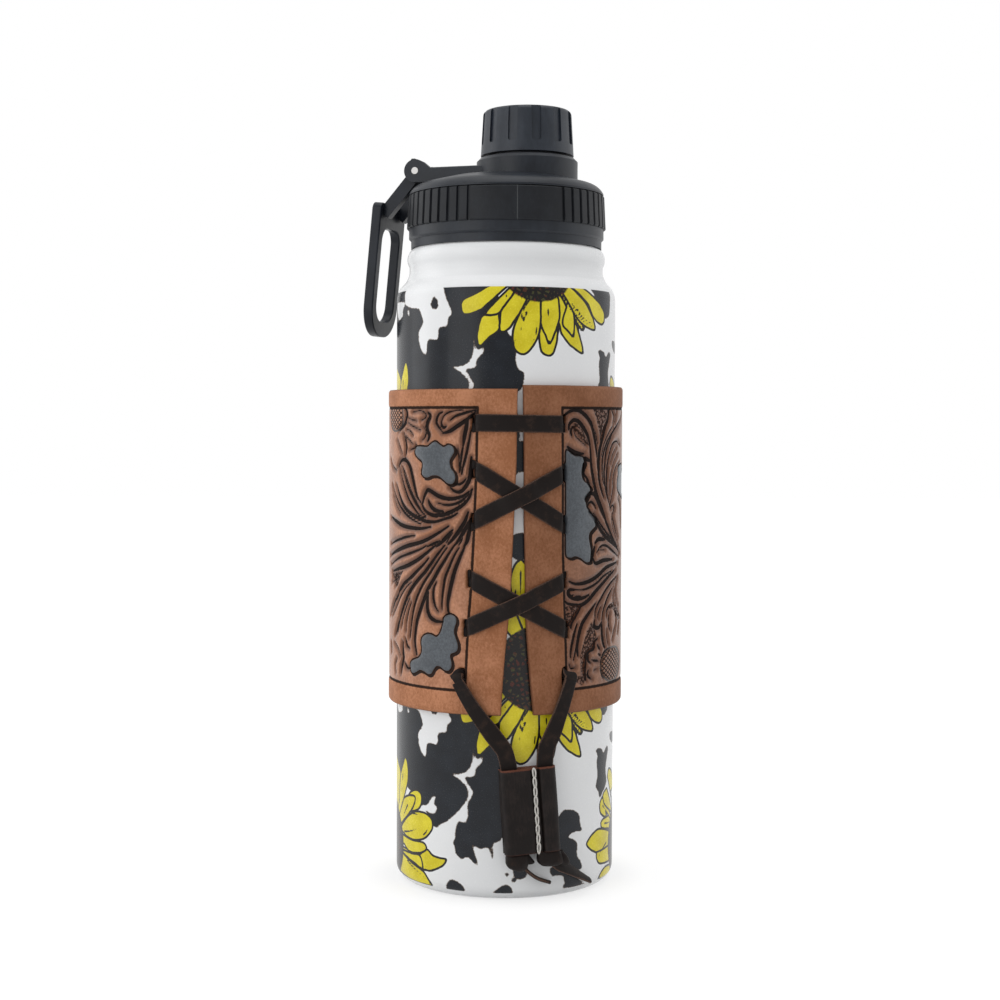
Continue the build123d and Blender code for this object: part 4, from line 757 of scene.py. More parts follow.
# how deep each kind of cut is, and over what distance it rounds out
carving = {"field": 0.12, "cut": (0.42, 0.4), "shoulder": (0.24, 1.1), "border": (0.3, 0.5), "patchRim": (0.45, 0.42),
           "patch": 0.12, "stipple": 0.3, "weaveRim": (0.35, 0.5), "slot": 2.1, "edge": (0.45, 0.9),
           "rawEdge": 0.7}
tooling = {
    # lines cut in the leather: (along the surface, height)
    "bold": [
        [(-27.6, 155.9), (-26.5, 154.7), (-27.8, 152.3), (-27.8, 150.3), (-26.9, 148.6), (-27.6, 146.6)],
        [(-21.3, 149.3), (-18.8, 149.9), (-15.8, 151.7), (-12.9, 153.5), (-9.8, 156)], [(-12.4, 154), (-12.9, 151.4),
         (-13.6, 148.1), (-14, 145.4)], [(-11.2, 141.8), (-11.4, 138.1), (-11.8, 135.1), (-13.1, 132.5),
         (-14.9, 130.8), (-16.9, 130.9), (-18.6, 132)], [(-29.9, 126.7), (-29, 129.1), (-27.6, 131), (-25.7, 130.5),
         (-23.2, 129.3), (-19.9, 128.5), (-16.9, 128.6), (-14, 129.5), (-11.8, 131)], [(-27.3, 127.8), (-26.6, 126.5),
         (-25.3, 125.2), (-23.2, 124.4), (-21.1, 124.5)], [(-30.2, 126.4), (-28.9, 124.7), (-26.6, 123.4), (-24, 123),
         (-20.7, 123.5), (-17.3, 124.7), (-13.9, 126.8), (-11.8, 129.2), (-10.9, 131.8)], [(-44.3, 138.2),
         (-42.1, 140.2), (-39.1, 140.4), (-36.5, 138.4), (-35, 135), (-33.8, 131.7), (-32.5, 128.7), (-30.7, 127)],
        [(-45.7, 132), (-43.3, 128.6), (-40.5, 125.6), (-36.5, 123.4), (-31.9, 121.9), (-28, 121), (-24.4, 121),
         (-20.7, 121.8)], [(-52.6, 121.3), (-46.8, 120.2), (-41.3, 119.1), (-35.9, 118.6), (-30.4, 118.6),
         (-26.2, 119.3)], [(-53.7, 108.6), (-44.7, 110.9), (-37.1, 112.8), (-30.9, 114.1), (-26.6, 115.7),
         (-22.3, 117.9), (-19.1, 119.8)], [(-23.8, 113.1), (-20.7, 115.6), (-17.6, 118.7)], [(-19.3, 114),
         (-17.6, 115.7), (-15.4, 118.4), (-13.2, 121.8), (-12.2, 124.5)], [(-16.5, 114.1), (-14.6, 116.8),
         (-12.5, 120.2), (-10.8, 123.2)], [(-13.6, 113.5), (-12.5, 115.5), (-11.8, 118.9), (-11.3, 121.5)],
        [(-39.1, 157.1), (-38.1, 155.4), (-39.1, 152.7), (-43.8, 149.9)], [(-50.4, 103.5), (-43.4, 104.9),
         (-38, 106.2), (-32.5, 108.3), (-28.4, 110.6), (-25.6, 112.5), (-23.8, 113.6)], [(-53.3, 88.7), (-49.6, 92),
         (-45.3, 95.7), (-40.9, 99.6), (-36.6, 102), (-32.5, 104.8), (-29.4, 107.1), (-27, 109.3)], [(-44.8, 83.9),
         (-43.4, 87.6), (-41.3, 91.4), (-38.6, 95.2), (-35.4, 99), (-32, 102), (-28.4, 105), (-25.1, 108.7),
         (-22.5, 111.6), (-20.6, 113.6)], [(-32.7, 77.7), (-33.6, 81.5), (-33.3, 85.1), (-32.5, 88.7), (-30.9, 92.3),
         (-29.1, 95.9), (-27.4, 99.2), (-25.1, 102.4), (-22.9, 105.7), (-20.8, 108.5), (-18.8, 111.4),
         (-16.9, 113.9)], [(-21.6, 89.1), (-24.2, 89.3), (-26.5, 90.5), (-27.6, 92.9), (-27.6, 96), (-27.2, 98.5)],
        [(-19.2, 92), (-19.4, 95.1), (-18.8, 98.6), (-18, 101.8), (-16.9, 105.6), (-15.3, 109.4), (-13.8, 112.6),
         (-13.3, 114)], [(-40.8, 81.1), (-40.8, 78.6), (-40.4, 75.5), (-41.6, 72.8), (-42, 70.5)], [(-52.1, 79.8),
         (-51.3, 76.7)], [(19.5, 154.3), (20.3, 155.5), (22.3, 156.5), (24.8, 156.7), (27.5, 155.5), (29.9, 153.5),
         (31.5, 151.2), (32.5, 148.1), (33.2, 145.4), (34, 141.7)], [(21.3, 150.5), (21.5, 152.1), (23.2, 153.5),
         (25.3, 153), (27.6, 150.8), (29.5, 148.1), (30.5, 145.1)], [(30.5, 144.7), (30.8, 141.4), (31.1, 138.7),
         (32.1, 134.6), (33.2, 131.2), (35, 127.7), (37.5, 123.9), (40.3, 119.7), (44.6, 115.3), (50, 111.9)],
        [(27.6, 141.6), (30.3, 140.4)], [(41.4, 157.3), (40.6, 153.9), (38.5, 150.8), (36.9, 147.4), (35.4, 144),
         (34.9, 140.6), (34.9, 136.6), (35.8, 132.5), (38.1, 128.3)], [(28.4, 128.3), (29.6, 129.6), (32.2, 129.9),
         (33.8, 128.3), (35.6, 125.7), (37.8, 122.9), (40.3, 120)], [(30.2, 124.2), (32.8, 122), (34.5, 119.9),
         (36.9, 117.4), (41.1, 114.8), (49.3, 111.6), (52.9, 109.6)], [(33.1, 113.9), (35.1, 115.1), (38.9, 114.8)],
        [(31.3, 108.6), (32.3, 111.2), (33, 112.9)], [(50, 128.2), (52.9, 125.3), (54, 118.3)], [(20.8, 145.1),
         (23.2, 143.5), (25.8, 142.8), (27.6, 142.8)], [(21.6, 102.2), (23.9, 101.3), (27.5, 101.3), (31.4, 102.1),
         (35.2, 103.5), (39.8, 105.6), (44.7, 106.3), (49.4, 106.7)], [(24.3, 99.4), (21.8, 99.4), (21.4, 98.2),
         (22.7, 97), (25.2, 96.4), (28, 96.7), (30.4, 97.5)], [(19.5, 96.3), (21, 95.2), (23.9, 94.5), (26.6, 94.3),
         (29.9, 95.7), (33, 97.9), (36.5, 100), (41.3, 102.4), (46.9, 104.4)], [(26.6, 93.9), (24.4, 91.3),
         (22.7, 88.7), (22.5, 87)], [(25.4, 78.1), (25.1, 81.5), (26, 85.5), (27.1, 88.1), (29, 90.3), (31.4, 92.5),
         (33.6, 94.4)], [(33.1, 89), (33.1, 86.9), (35.4, 86.4), (37.2, 88)], [(28.9, 69.9), (28.4, 73.1),
         (28.8, 76.4), (30, 79), (32.6, 79.8), (33.1, 81.8), (34.8, 83)], [(41.6, 78.9), (38, 76.9), (37.1, 73.5),
         (37.8, 70)], [(31.8, 109.5), (33.5, 107.4), (38.3, 108.1), (44.7, 108)], [(37.2, 87.3), (37.3, 84.5),
         (38, 81.4), (39.4, 79.1)]],
    "medium": [
        [(-21.6, 149.7), (-23.4, 151.7), (-23.9, 153.3), (-23, 155.2), (-21.4, 156)], [(-22, 153), (-21.8, 151.7),
         (-20.8, 151), (-20.1, 151.5)], [(-18.6, 153.4), (-16.6, 154.7), (-14, 155.5), (-9.6, 156.7)], [(-14, 145.4),
         (-14.5, 142.7), (-15, 139.7), (-15.2, 136.8)], [(-11.3, 150.4), (-11.9, 147.4), (-12.6, 144.1),
         (-13.4, 140.8), (-14.2, 138.1), (-14.5, 136.1)], [(-12.9, 135.1), (-14, 133.8), (-15.4, 133.1),
         (-16.7, 133.1)], [(-23.2, 127.1), (-20.7, 126.5), (-17.6, 126.7), (-14.7, 127.8), (-11.8, 130.2)],
        [(-41.3, 138.3), (-39.5, 134.9), (-37.4, 131.6), (-35.3, 128.9), (-32.5, 125.9), (-29.9, 123.7),
         (-28, 122.4)], [(-42.9, 137.6), (-41.7, 134.8), (-39.8, 131.5), (-37.4, 128.1), (-34.7, 125.5),
         (-31.4, 122.9), (-28.5, 122)], [(-50, 132.2), (-46.8, 128.5), (-42.9, 125.2), (-38.4, 122.6), (-34.1, 121),
         (-30.4, 119.9)], [(-52.6, 112.5), (-44.7, 114.2), (-38.4, 115.5), (-33.5, 116.2)], [(-27.7, 112.9),
         (-25.3, 113.9), (-22.3, 115)], [(-40.2, 149.2), (-39.1, 146.9), (-38.4, 144.5), (-39.1, 141.7)],
        [(-23.2, 121.5), (-19.9, 122.2), (-17.6, 123), (-15.8, 124.1)], [(-52.2, 105.7), (-43.4, 108.5),
         (-36.7, 110.2), (-30.9, 111.9), (-27.9, 113.3)], [(-36.3, 82.7), (-35.7, 86.3), (-34.8, 90.6), (-33.6, 94.2),
         (-31.9, 97.5), (-29.4, 101.1), (-26.5, 104.5), (-24.2, 107.4), (-21.7, 110.6), (-19.6, 113.1)],
        [(-22.9, 92.2), (-24.4, 94.1), (-25.1, 96.9), (-24.9, 99.7), (-23.8, 101.8)], [(-21.6, 92.9), (-21.6, 95.7),
         (-21.2, 99.2), (-20.4, 103.4), (-18.8, 106.9), (-17.3, 110.1), (-15.3, 113.2)], [(-39, 82.4), (-37.9, 80),
         (-36.5, 79.3)], [(-46.9, 82.6), (-45.3, 85.3), (-43.8, 87.9)], [(-39.7, 74.5), (-37.9, 72.9), (-36.3, 72.8)],
        [(27.6, 139.7), (27.4, 136.7), (29.1, 134.7), (31, 131.9)], [(56.9, 156.8), (51.3, 153.2), (45, 150.1),
         (40.7, 147.1), (38.3, 144), (37, 140.6), (37, 136.5), (37.7, 132.8)], [(45, 150.5), (42.3, 147.4),
         (39.6, 144), (38.6, 139.9), (38.3, 135.8), (39.1, 131), (41, 127.5)], [(51.5, 145.6), (48.4, 146.7),
         (44.1, 145.7), (41.6, 142.6), (40.1, 138.5), (39.8, 134.4), (40.2, 130), (42.2, 125.4)], [(50.8, 139.7),
         (46.8, 137.7), (44.7, 134.3), (44.8, 131.5), (43.4, 128.1), (42.2, 125.1)], [(29.7, 125.9), (29.9, 126.9),
         (31.1, 127.3), (32.7, 126.3), (33.3, 125.1)], [(32.2, 123.8), (34.5, 121.6), (37.5, 118.8), (41.9, 115.8),
         (49.2, 112.3)], [(34, 110.8), (36.3, 112.7), (39.7, 112.8), (44.7, 110.8), (50.9, 108.7)], [(42.2, 124.4),
         (44.4, 125.7), (45.9, 124.9), (44.5, 122.2), (46.6, 118.7), (49.9, 115)], [(43, 157.3), (44.9, 154.9),
         (44, 152.2)], [(22.4, 148.5), (22.1, 150.1), (23, 151.5)], [(34, 141.3), (34.6, 137.9), (35.5, 134.5)],
        [(23.9, 99.4), (27.5, 99.2), (31.4, 100), (34.7, 101.2), (38.4, 103), (43.8, 104.3)], [(22.4, 77.6),
         (22.6, 80.3), (23.4, 83.6), (24.2, 86.3), (25.1, 88.6)], [(33.6, 89.6), (33.3, 91), (33.9, 93), (36.5, 95.6),
         (39.8, 98.4), (43.9, 100.5), (49.5, 102.1)], [(37.2, 88.6), (37.8, 91.3), (39.2, 93.6), (41.4, 96.2),
         (44.9, 98.7)], [(40, 89.4), (40.3, 91.5), (42.7, 93)], [(31.6, 76.2), (35.5, 75.4)], [(35.2, 77.9),
         (36.7, 77.1)], [(34.6, 81), (36.1, 79.1)], [(42.3, 90.9), (41.5, 87.6), (42.8, 84.7)], [(51.6, 86.5),
         (50, 83.2)], [(47.2, 90.5), (47.8, 86.9), (45.6, 83.7), (44.2, 81.4)], [(30.3, 78), (29.8, 76.3),
         (31.3, 75.2)], [(30.1, 73.2), (29.8, 71.2), (31.6, 70)]],
    "thin": [
        [(-37, 153.9), (-34.6, 153.4), (-32.5, 153.1)], [(-37.7, 152.6), (-35.3, 151.6), (-32.5, 150.7),
         (-30.6, 150.1)], [(-38.1, 150.3), (-36.2, 149.8), (-34.6, 148.4)], [(-38.8, 148.1), (-36.8, 146.9),
         (-34.6, 145.5)], [(-34.6, 156), (-31, 156.4), (-28.6, 155.5), (-28.5, 154.2), (-30.5, 153.3)],
        [(-29.5, 151.3), (-28.3, 149.8), (-28.8, 148), (-30.2, 146.9)], [(-22, 152.8), (-21.2, 154.5), (-19.6, 155.7),
         (-17.3, 156.3), (-14, 156.7)], [(-15.8, 144.7), (-15.4, 141.4), (-15.4, 138.7)], [(-48.6, 128.4),
         (-45.7, 125.1), (-42.5, 123)], [(-44.7, 146.8), (-42.9, 144.4), (-41.3, 142.4)], [(-40.2, 137.6),
         (-38.1, 134.3), (-35.9, 130.9), (-33.3, 127.6), (-30.7, 124.8)], [(-15.6, 113.8), (-14.6, 115.1),
         (-14.1, 116.5)], [(-20.1, 114.3), (-18.8, 116.3), (-17.6, 117.7)], [(-36.2, 143.8), (-33.9, 144.5),
         (-33.2, 145.7)], [(-52.6, 140.5), (-50, 138.1), (-45.7, 136.8)], [(-49.6, 89.1), (-45.8, 92.4),
         (-42.5, 95.9), (-38.7, 99.1), (-35.4, 101.1)], [(-47.5, 80), (-44.3, 78.2), (-42.5, 76)], [(-49.6, 101.4),
         (-45.8, 102.8), (-42.5, 103.7)], [(-50.4, 99.9), (-46.4, 101.3), (-43.4, 101.9)], [(-47, 98.7), (-44.8, 100),
         (-43.9, 101.1)], [(-38.6, 84.6), (-38.3, 88.1), (-37, 91.8), (-35.4, 94.7)], [(-48.8, 92.1), (-46.4, 94.8),
         (-43.8, 97.2)], [(-46.3, 70.4), (-46.9, 72.9), (-45.3, 75.3)], [(-41.7, 85.7), (-40.5, 89.3), (-38.6, 92.7),
         (-36.3, 96.1)], [(44, 151.5), (40.7, 149.1), (37.9, 145.7), (36.3, 142)], [(48.5, 142.5), (45.1, 139.8),
         (42.9, 136.4), (41.7, 132.7), (41.7, 128.9)], [(43.5, 123), (43.6, 120.5), (45.5, 117.3), (49.2, 114)],
        [(47.5, 157.4), (46.5, 154.3), (45.4, 152.5)], [(31.7, 151.5), (33.4, 148.8), (34.2, 146.1)], [(23.2, 150.5),
         (24, 148.5), (26.2, 146.8), (28.5, 145.4)], [(34.6, 111.4), (35.7, 111.7), (38.3, 111.5)], [(47.2, 144.6),
         (44.1, 142.2), (42, 139.2)], [(34.8, 89.2), (35, 90.9), (36.5, 93.2)], [(32.7, 72.8), (34.3, 73)],
        [(49.5, 101.4), (47, 98.8), (47.7, 95.3), (50.5, 92.2)], [(45.9, 97.9), (44.9, 95.5), (47.1, 92.9)],
        [(21.8, 75.6), (22.6, 74.2), (24.1, 74.4)], [(23.6, 76.8), (24.5, 80.2), (25, 83.5)], [(40, 85.6),
         (40.4, 82.8), (41.2, 80.3)], [(22.9, 97.8), (24.8, 97.4), (26.6, 97.4)]],
    "patches": [
        [(-33, 144.6), (-31, 144.9), (-27.6, 144.8), (-26.2, 145.6), (-24.3, 146.5), (-22.4, 145.5), (-20.8, 144.8),
         (-19.2, 145.5), (-17.7, 145), (-17.1, 143.7), (-17.7, 142.4), (-18.6, 141), (-18.7, 139.7), (-18.2, 138),
         (-17.1, 136.7), (-16.7, 135.4), (-17.1, 133.9), (-18, 133.2), (-19.4, 133.4), (-20.7, 134.3), (-22.4, 135.5),
         (-24, 135.9), (-25.8, 135.7), (-27.1, 135.2), (-28.7, 135.2), (-29.9, 136.2), (-29.7, 137.8), (-29.5, 139.2),
         (-30.2, 140.5), (-32, 141.5), (-33.3, 142.9)], [(-35.7, 74.6), (-34.2, 75.8), (-31.4, 76.8), (-30.1, 78.3),
         (-29.8, 80.1), (-30.1, 81.8), (-29.6, 83.6), (-27.6, 84.7), (-25.5, 84.7), (-23.8, 84.1), (-22.5, 84.9),
         (-21.4, 87), (-21, 89.5), (-20, 91.1), (-18.2, 91.6), (-16.6, 90.9), (-16.2, 89.4), (-16.8, 87.7),
         (-17, 85.9), (-16.4, 84.2), (-15.7, 82.2), (-15.8, 80.6), (-16.8, 79.7), (-18.2, 79.1), (-18.4, 77.9),
         (-17.9, 76.5), (-18, 74.8), (-19.1, 73.7), (-20.6, 73.9), (-22, 74.8), (-23.5, 74.9), (-24.8, 73.6),
         (-25.7, 72.3), (-27.1, 72), (-28.8, 72.7), (-30.8, 73), (-32.7, 72.1), (-34.4, 71.6), (-35.7, 72.5)],
        [(20.4, 143.8), (22, 143.1), (23.6, 142.1), (25.8, 141.9), (27.4, 141.4), (27.4, 139.7), (26.7, 138.1),
         (26.5, 135.7), (27.4, 134), (29.4, 133), (30.4, 131.6), (29.9, 130.3), (28.7, 128.9), (28.2, 127.6),
         (28.7, 125.6), (30.2, 124.2), (32.2, 122.7), (33.3, 121.3), (33.1, 119.7), (31.2, 118.4), (30, 117.4),
         (29.7, 115.7), (30.2, 113.7), (30.8, 111.6), (30.9, 109.9), (30.5, 108.4), (29.3, 108), (27.9, 108.4),
         (26, 109.6), (23.8, 110.2), (22.2, 109.8), (20.8, 110.2), (20.4, 111.4), (20.3, 116.4), (20.3, 123.1),
         (20.3, 129.8), (20.2, 136.5), (20.2, 141.5)], [(50.4, 138), (55.9, 138.9), (58.8, 137.4), (58.8, 128.6),
         (53.2, 129.3), (49.1, 131), (48.7, 133.5), (49.8, 135.5)]],
    "stippled": [
        [(30.9, 157.9), (41.3, 157.7), (39.5, 152.9), (36.9, 148.1), (35.4, 145.7), (34.3, 150.5), (33, 154.2)],
        [(22.1, 151.5), (23.4, 152.7), (25.1, 152.3), (27.1, 150.1), (29, 147.5), (30, 145.1), (27.6, 146.4),
         (24.9, 148.5), (23.6, 150.1)], [(19.3, 94.3), (26.6, 94.1), (24.4, 91.3), (22.5, 88.7), (21.5, 86.4),
         (20.7, 85.1), (19.7, 87.9), (18.9, 92)], [(31, 88.5), (32.8, 86.6), (33.7, 83.5), (32.6, 80.2), (29, 78.8),
         (28.4, 73.1), (28.6, 70), (26.8, 68.3), (23.9, 70.1), (23.7, 71.6), (26.4, 71.5), (26.2, 77.7), (27.1, 81),
         (29, 85.9)], [(40.7, 92.5), (44.9, 94.2), (49.8, 91.6), (53.8, 87.7), (49.9, 87.4), (45, 91.4)],
        [(-50.4, 102.8), (-40.1, 104.4), (-43.4, 101.2), (-47, 98.7)]],
    # flower middles with a woven face: (middle, half width, half height)
    "woven": [((-46.8, 154.7), 5.9, 4.6), ((44.6, 73.6), 7.8, 5.3)],
    "widths": {"bold": (0.45, 1.1, 1.2, 1.0, 0.4), "medium": (0.25, 0.62, 0.68, 0.3), "thin": (0.2, 0.36, 0.2)},
}


def sleeveAcross(share, height):
    # along the surface from the gap's right edge round the back to its left edge
    right = np.interp(height, *zip(*sleeve["rightEdge"]))
    left = np.interp(height, *zip(*sleeve["leftEdge"])) + tau * sleeveArc
    return right + (left - right) * share


def folded(along):
    # the front's pattern, carried round by mirrors on each side
    middle, width = sleeve["leftFold"]
    left = np.where(along < middle, 2 * middle - along, along)
    left = np.where(left > middle + width, 2 * (middle + width) - left, left)
    middle, width = sleeve["rightFold"]
    right = np.where(along > middle, 2 * middle - along, along)
    right = np.where(right < middle - width, 2 * (middle - width) - right, right)
    right = np.where(right > middle, 2 * middle - right, right)
    return np.where(along < sleeve["gapMiddle"], left, right)


def sleeveGrid():
    # the face's points by share of the way round, share of the height, place along the surface and height
    s = sleeve
    even = np.linspace(0, 1, s["columns"])
    share, level = np.meshgrid(even - s["crowd"] * np.sin(tau * even) / tau, np.linspace(0, 1, s["rows"]))
    along = sleeveAcross(share, s["low"] + (s["topLeft"] - s["low"]) * level)
    extra = (s["topRight"] - s["topLeft"]) * (1 - roundedStep(share, *s["extraEnds"]))
    height = s["low"] + (s["topLeft"] + extra - s["low"]) * level
    along = np.where(along > s["meet"] + tau * sleeveArc, along - tau * sleeveArc, along)
    return share.ravel(), level.ravel(), along.ravel(), height.ravel()


def toolingDistances(along, height):
    # distance from every point to the nearest cut, patch, slot and so on
    s = sleeve
    x = folded(along)
    places = np.stack([x, height], -1)
    leftBorder = np.interp(height, *zip(*s["leftBorder"]))
    rightBorder = np.interp(height, *zip(*s["rightBorder"]))
    aside = np.where(along < s["gapMiddle"], leftBorder - along, along - rightBorder)
    # a plain strip runs up the back where the mirrored halves meet
    behind = np.minimum(along - s["meet"], s["meet"] + tau * sleeveArc - along) - s["backStrip"]
    field = np.min([aside, height - s["fieldLow"], s["fieldHigh"] - height, behind], 0)
    # the patches' outlines, and the same outlines shifted, which widen the dark rims on one side as a painted shadow
    patch, moved = [nearestOutline(places, [rounded(np.array(outline) + shift, True, 4)
                                            for outline in tooling["patches"]]) for shift in ((0, 0), s["rimShadowShift"])]
    woven, slot = np.full((2, len(places)), far)
    for middle, wide, high in tooling["woven"]:
        woven = np.minimum(woven, (np.hypot(*((places - middle) / (wide, high)).T) - 1) * high)
    halfWide, halfHigh, corner = s["slotSize"]
    for place in s["slots"]:
        beyond = np.maximum(np.abs(np.stack([along, height]) - np.array(place)[:, None])
                            - np.array([[halfWide], [halfHigh]]), 0)
        slot = np.minimum(slot, np.hypot(*beyond) - corner)
    strokes = [(rounded(line), widths) for kind, widths in tooling["widths"].items() for line in tooling[kind]]
    stroke = np.where(woven < 0, 3.0, strokeDistance(places, strokes))
    return {"stroke": stroke, "patch": patch, "field": field, "stipple": nearestOutline(places, tooling["stippled"]),
            "woven": woven, "slot": slot, "across": x, "patchRim": np.minimum(patch, moved)}


def ditch(distance, depth, width):
    return depth * np.exp(-(distance / width) ** 2)


def carvedDepth(found):
    # the tooled field lies lower, cut lines and slots lower still, and the cuts' edges are rounded over
    cut, field = np.maximum(found["stroke"], 0), found["field"]
    depth, width = carving["shoulder"]
    inField = ditch(cut, *carving["cut"]) + depth * np.exp(-cut / width)
    inField += ditch(found["patch"] - 0.4, *carving["patchRim"]) + ditch(found["woven"] - 0.2, *carving["weaveRim"])
    inField += carving["patch"] * roundedStep(-found["patch"], -0.2, 0.5)
    inField += carving["stipple"] * roundedStep(-found["stipple"], -0.4, 0.4)
    return (carving["field"] * roundedStep(field, -0.1, 0.7) + ditch(field, *carving["border"])
            + inField * roundedStep(field, 0.1, 0.6) + carving["slot"] * roundedStep(-found["slot"], -0.35, 0.15))


def closedSheet(outer, inner, rows, columns):
    # the fine outer face, its cut edges and a coarse inner face as one closed mesh
    index = np.arange(rows * columns).reshape(rows, columns)
    faces = gridFaces(rows, columns, joinSides=False)
    border = np.concatenate([index[0], index[1:, -1], index[-1, -2::-1], index[-2:0:-1, 0]])
    numbers = {place: len(outer) + number for number, place in enumerate(border)}
    for place, after in zip(border, np.roll(border, -1)):
        faces.append((after, place, numbers[place], numbers[after]))
    points = [*outer, *inner[border]]
    rowStep, columnStep = sleeve["coarse"]
    up = [*range(0, rows - 1, rowStep), rows - 1]
    across = [*range(0, columns - 1, columnStep), columns - 1]
    for place in index[np.ix_(up, across)].ravel():
        if place not in numbers:
            numbers[place] = len(points)
            points.append(inner[place])
    for row, above in zip(up, up[1:]):
        for column, beside in zip(across, across[1:]):
            ring = np.concatenate([index[row, column:beside], index[row:above, beside],
                                   index[above, beside:column:-1], index[above:row:-1, column]])
            faces.append(tuple(numbers[place] for place in ring[::-1] if place in numbers))
    return points, faces


def makeSleeve():
    s = sleeve
    rows, columns = s["rows"], s["columns"]
    share, level, along, height = sleeveGrid()
    found = toolingDistances(along, height)
    # distance to the sheet's own edges
    long, high = s["sheet"]
    rim = np.min([level * high, (1 - level) * high, share * long, (1 - share) * long], 0)
    depth, width = carving["edge"]
    carved = carvedDepth(found) + depth * np.clip(1 - rim / width, 0, 1) ** 2
    outer = onRound(along, height, s["outer"] - carved, sleeveArc)
    inner = onRound(along, height, np.full(len(along), s["inner"]), sleeveArc)
    points, faces = closedSheet(outer, inner, rows, columns)
    spare = len(points) - len(outer)
    values = {name: np.concatenate([distances, np.full(spare, far)]) for name, distances in found.items()}
    values["field"][len(outer):] = -far
    values["raw"] = np.concatenate([np.clip(1 - rim / carving["rawEdge"], 0, 1), np.ones(spare)])
    meshPiece("tooled_sleeve", points, faces, paintSleeve(), "sleeve", ("leather_sleeve",), values)
    print("tooled sleeve has", 2 * (rows - 1) * (columns - 1), "triangles on its face")


leatherFinish = {
    "tan": colour(0.335, 0.132, 0.058), "light": colour(0.53, 0.235, 0.123), "deep": colour(0.13, 0.044, 0.020),
    "antique": colour(0.007, 0.0048, 0.0045), "slateLow": colour(0.062, 0.071, 0.082),
    "slate": colour(0.098, 0.112, 0.128), "raw": colour(0.16, 0.065, 0.035), "shadow": colour(0.03, 0.012, 0.006),
    "weave": 1.55, "dots": 0.85}


def paintSleeve():
    finish = leatherFinish
    paint = Paint("tooledLeather", Specular_IOR_Level=0.15, Coat_Roughness=0.24)
    fine = paint.noise(0.28, 4.0, 0.6)
    pores = paint.noise(0.8, 3.0)
    cloud = paint.noise(9.0, 3.0)
    fibres = paint.noise(0.7, 4.0, place=paint.stretched((1.0, 1.0, 0.75)))
    across, height = paint.attribute("across"), paint.axis(2)
    stroke = paint.attribute("stroke") + (pores - 0.5) * 0.22
    field = paint.attribute("field") + (pores - 0.5) * 0.3
    inField = field.rise(0.1, 0.5)
    # plain leather has upright fibres and a soft mottling; painted shade darkens all the leather towards the right flap
    mottled = ((cloud + (fibres - 0.5) * 0.9 + (fine - 0.5) * 0.6).rise(0.2, 0.85),
               (cloud + (fibres - 0.5) * 0.6 + (pores - 0.5) * 0.5).rise(0.3, 0.85))
    paintedShadeRight = across.rise(-22, 22) * 0.4
    smooth, tooled = [paint.blend(paintedShadeRight, paint.blend(share, finish["tan"], finish["light"]), finish["shadow"])
                      for share in mottled]
    # burnished brown and painted shade beside the cut lines, dark antique paste left in them
    cut = stroke.fall(-0.02, 0.2)
    tooled = paint.blend(stroke.fall(0.1, 1.5) * (0.5 + 0.55 * pores), tooled, finish["deep"])
    tooled = paint.blend(cut * 0.97, tooled, finish["antique"])
    # the stippled ground
    stippled = paint.attribute("stipple").fall(-0.25, 0.25)
    dots = paint.cells("F1", finish["dots"]).rise(0.34, 0.6) * stippled
    tooled = paint.blend(stippled * 0.75, tooled, finish["deep"])
    tooled = paint.blend(dots * 0.85, tooled, finish["antique"])
    # woven flower middles
    first, second = [((across * 0.65 + side * height) * (pi / finish["weave"])).sine().size() for side in (1, -1)]
    woven = paint.attribute("woven").fall(-0.2, 0.1)
    gaps = first.least(second).fall(0.25, 0.6) * woven
    rim = (paint.attribute("woven") - 0.3).size().fall(0.15, 0.5)
    tooled = paint.blend(gaps * 0.95, tooled, finish["antique"])
    tooled = paint.blend(rim * 0.9, tooled, finish["antique"])
    # painted patches with their dark rims; a painted shadow widens the rims on one side
    patch = paint.attribute("patch") + (pores - 0.5) * 0.3
    slate = paint.blend((fine * 0.5 + pores * 0.5 + (cloud - 0.5) * 0.5).rise(0.35, 0.7), finish["slateLow"],
                        finish["slate"])
    ring = patch.rise(-0.02, 0.14) * (paint.attribute("patchRim") + (pores - 0.5) * 0.3).fall(0.45, 0.68)
    tooled = paint.blend(patch.fall(-0.05, 0.15), tooled, slate)
    tooled = paint.blend(ring * 0.96, tooled, finish["antique"])
    # border grooves, slots painted dark as the shade inside them, and raw edges
    border = (field - 0.1).size().fall(0.34, 0.62)
    shade = paint.blend(border * 0.95, paint.blend(inField, smooth, tooled), finish["antique"])
    shade = paint.blend(paint.attribute("slot").fall(-0.1, 0.25), shade, finish["antique"])
    shade = paint.blend(paint.attribute("raw").rise(0.3, 1.0) * (0.3 + 0.5 * pores), shade, finish["raw"])
    paint.feed("Base Color", shade)
    dark = (cut.most(dots).most(gaps).most(ring) * inField).most(border)
    paint.feed("Roughness", 0.5 + 0.15 * fine + 0.3 * dark - 0.12 * inField)
    paint.feed("Coat Weight", 0.85 * inField * (1 - dark) * (0.4 + 0.6 * pores))
    # the relief, in millimetres
    shoulder = paint.attribute("stroke").fall(0.0, 1.4)
    carved = 0.6 * cut + 0.55 * shoulder + 0.25 * dots + 0.3 * gaps + 0.4 * ring + 0.3 * rim
    relief = 0.05 * fine + 0.06 * pores + 0.04 * fibres - inField * carved
    paint.bump(relief + inField * woven * 0.25 * first * second, 1.0)
    return paint.material


makeSleeve()


# Lace across the front: straps that dive into the slots

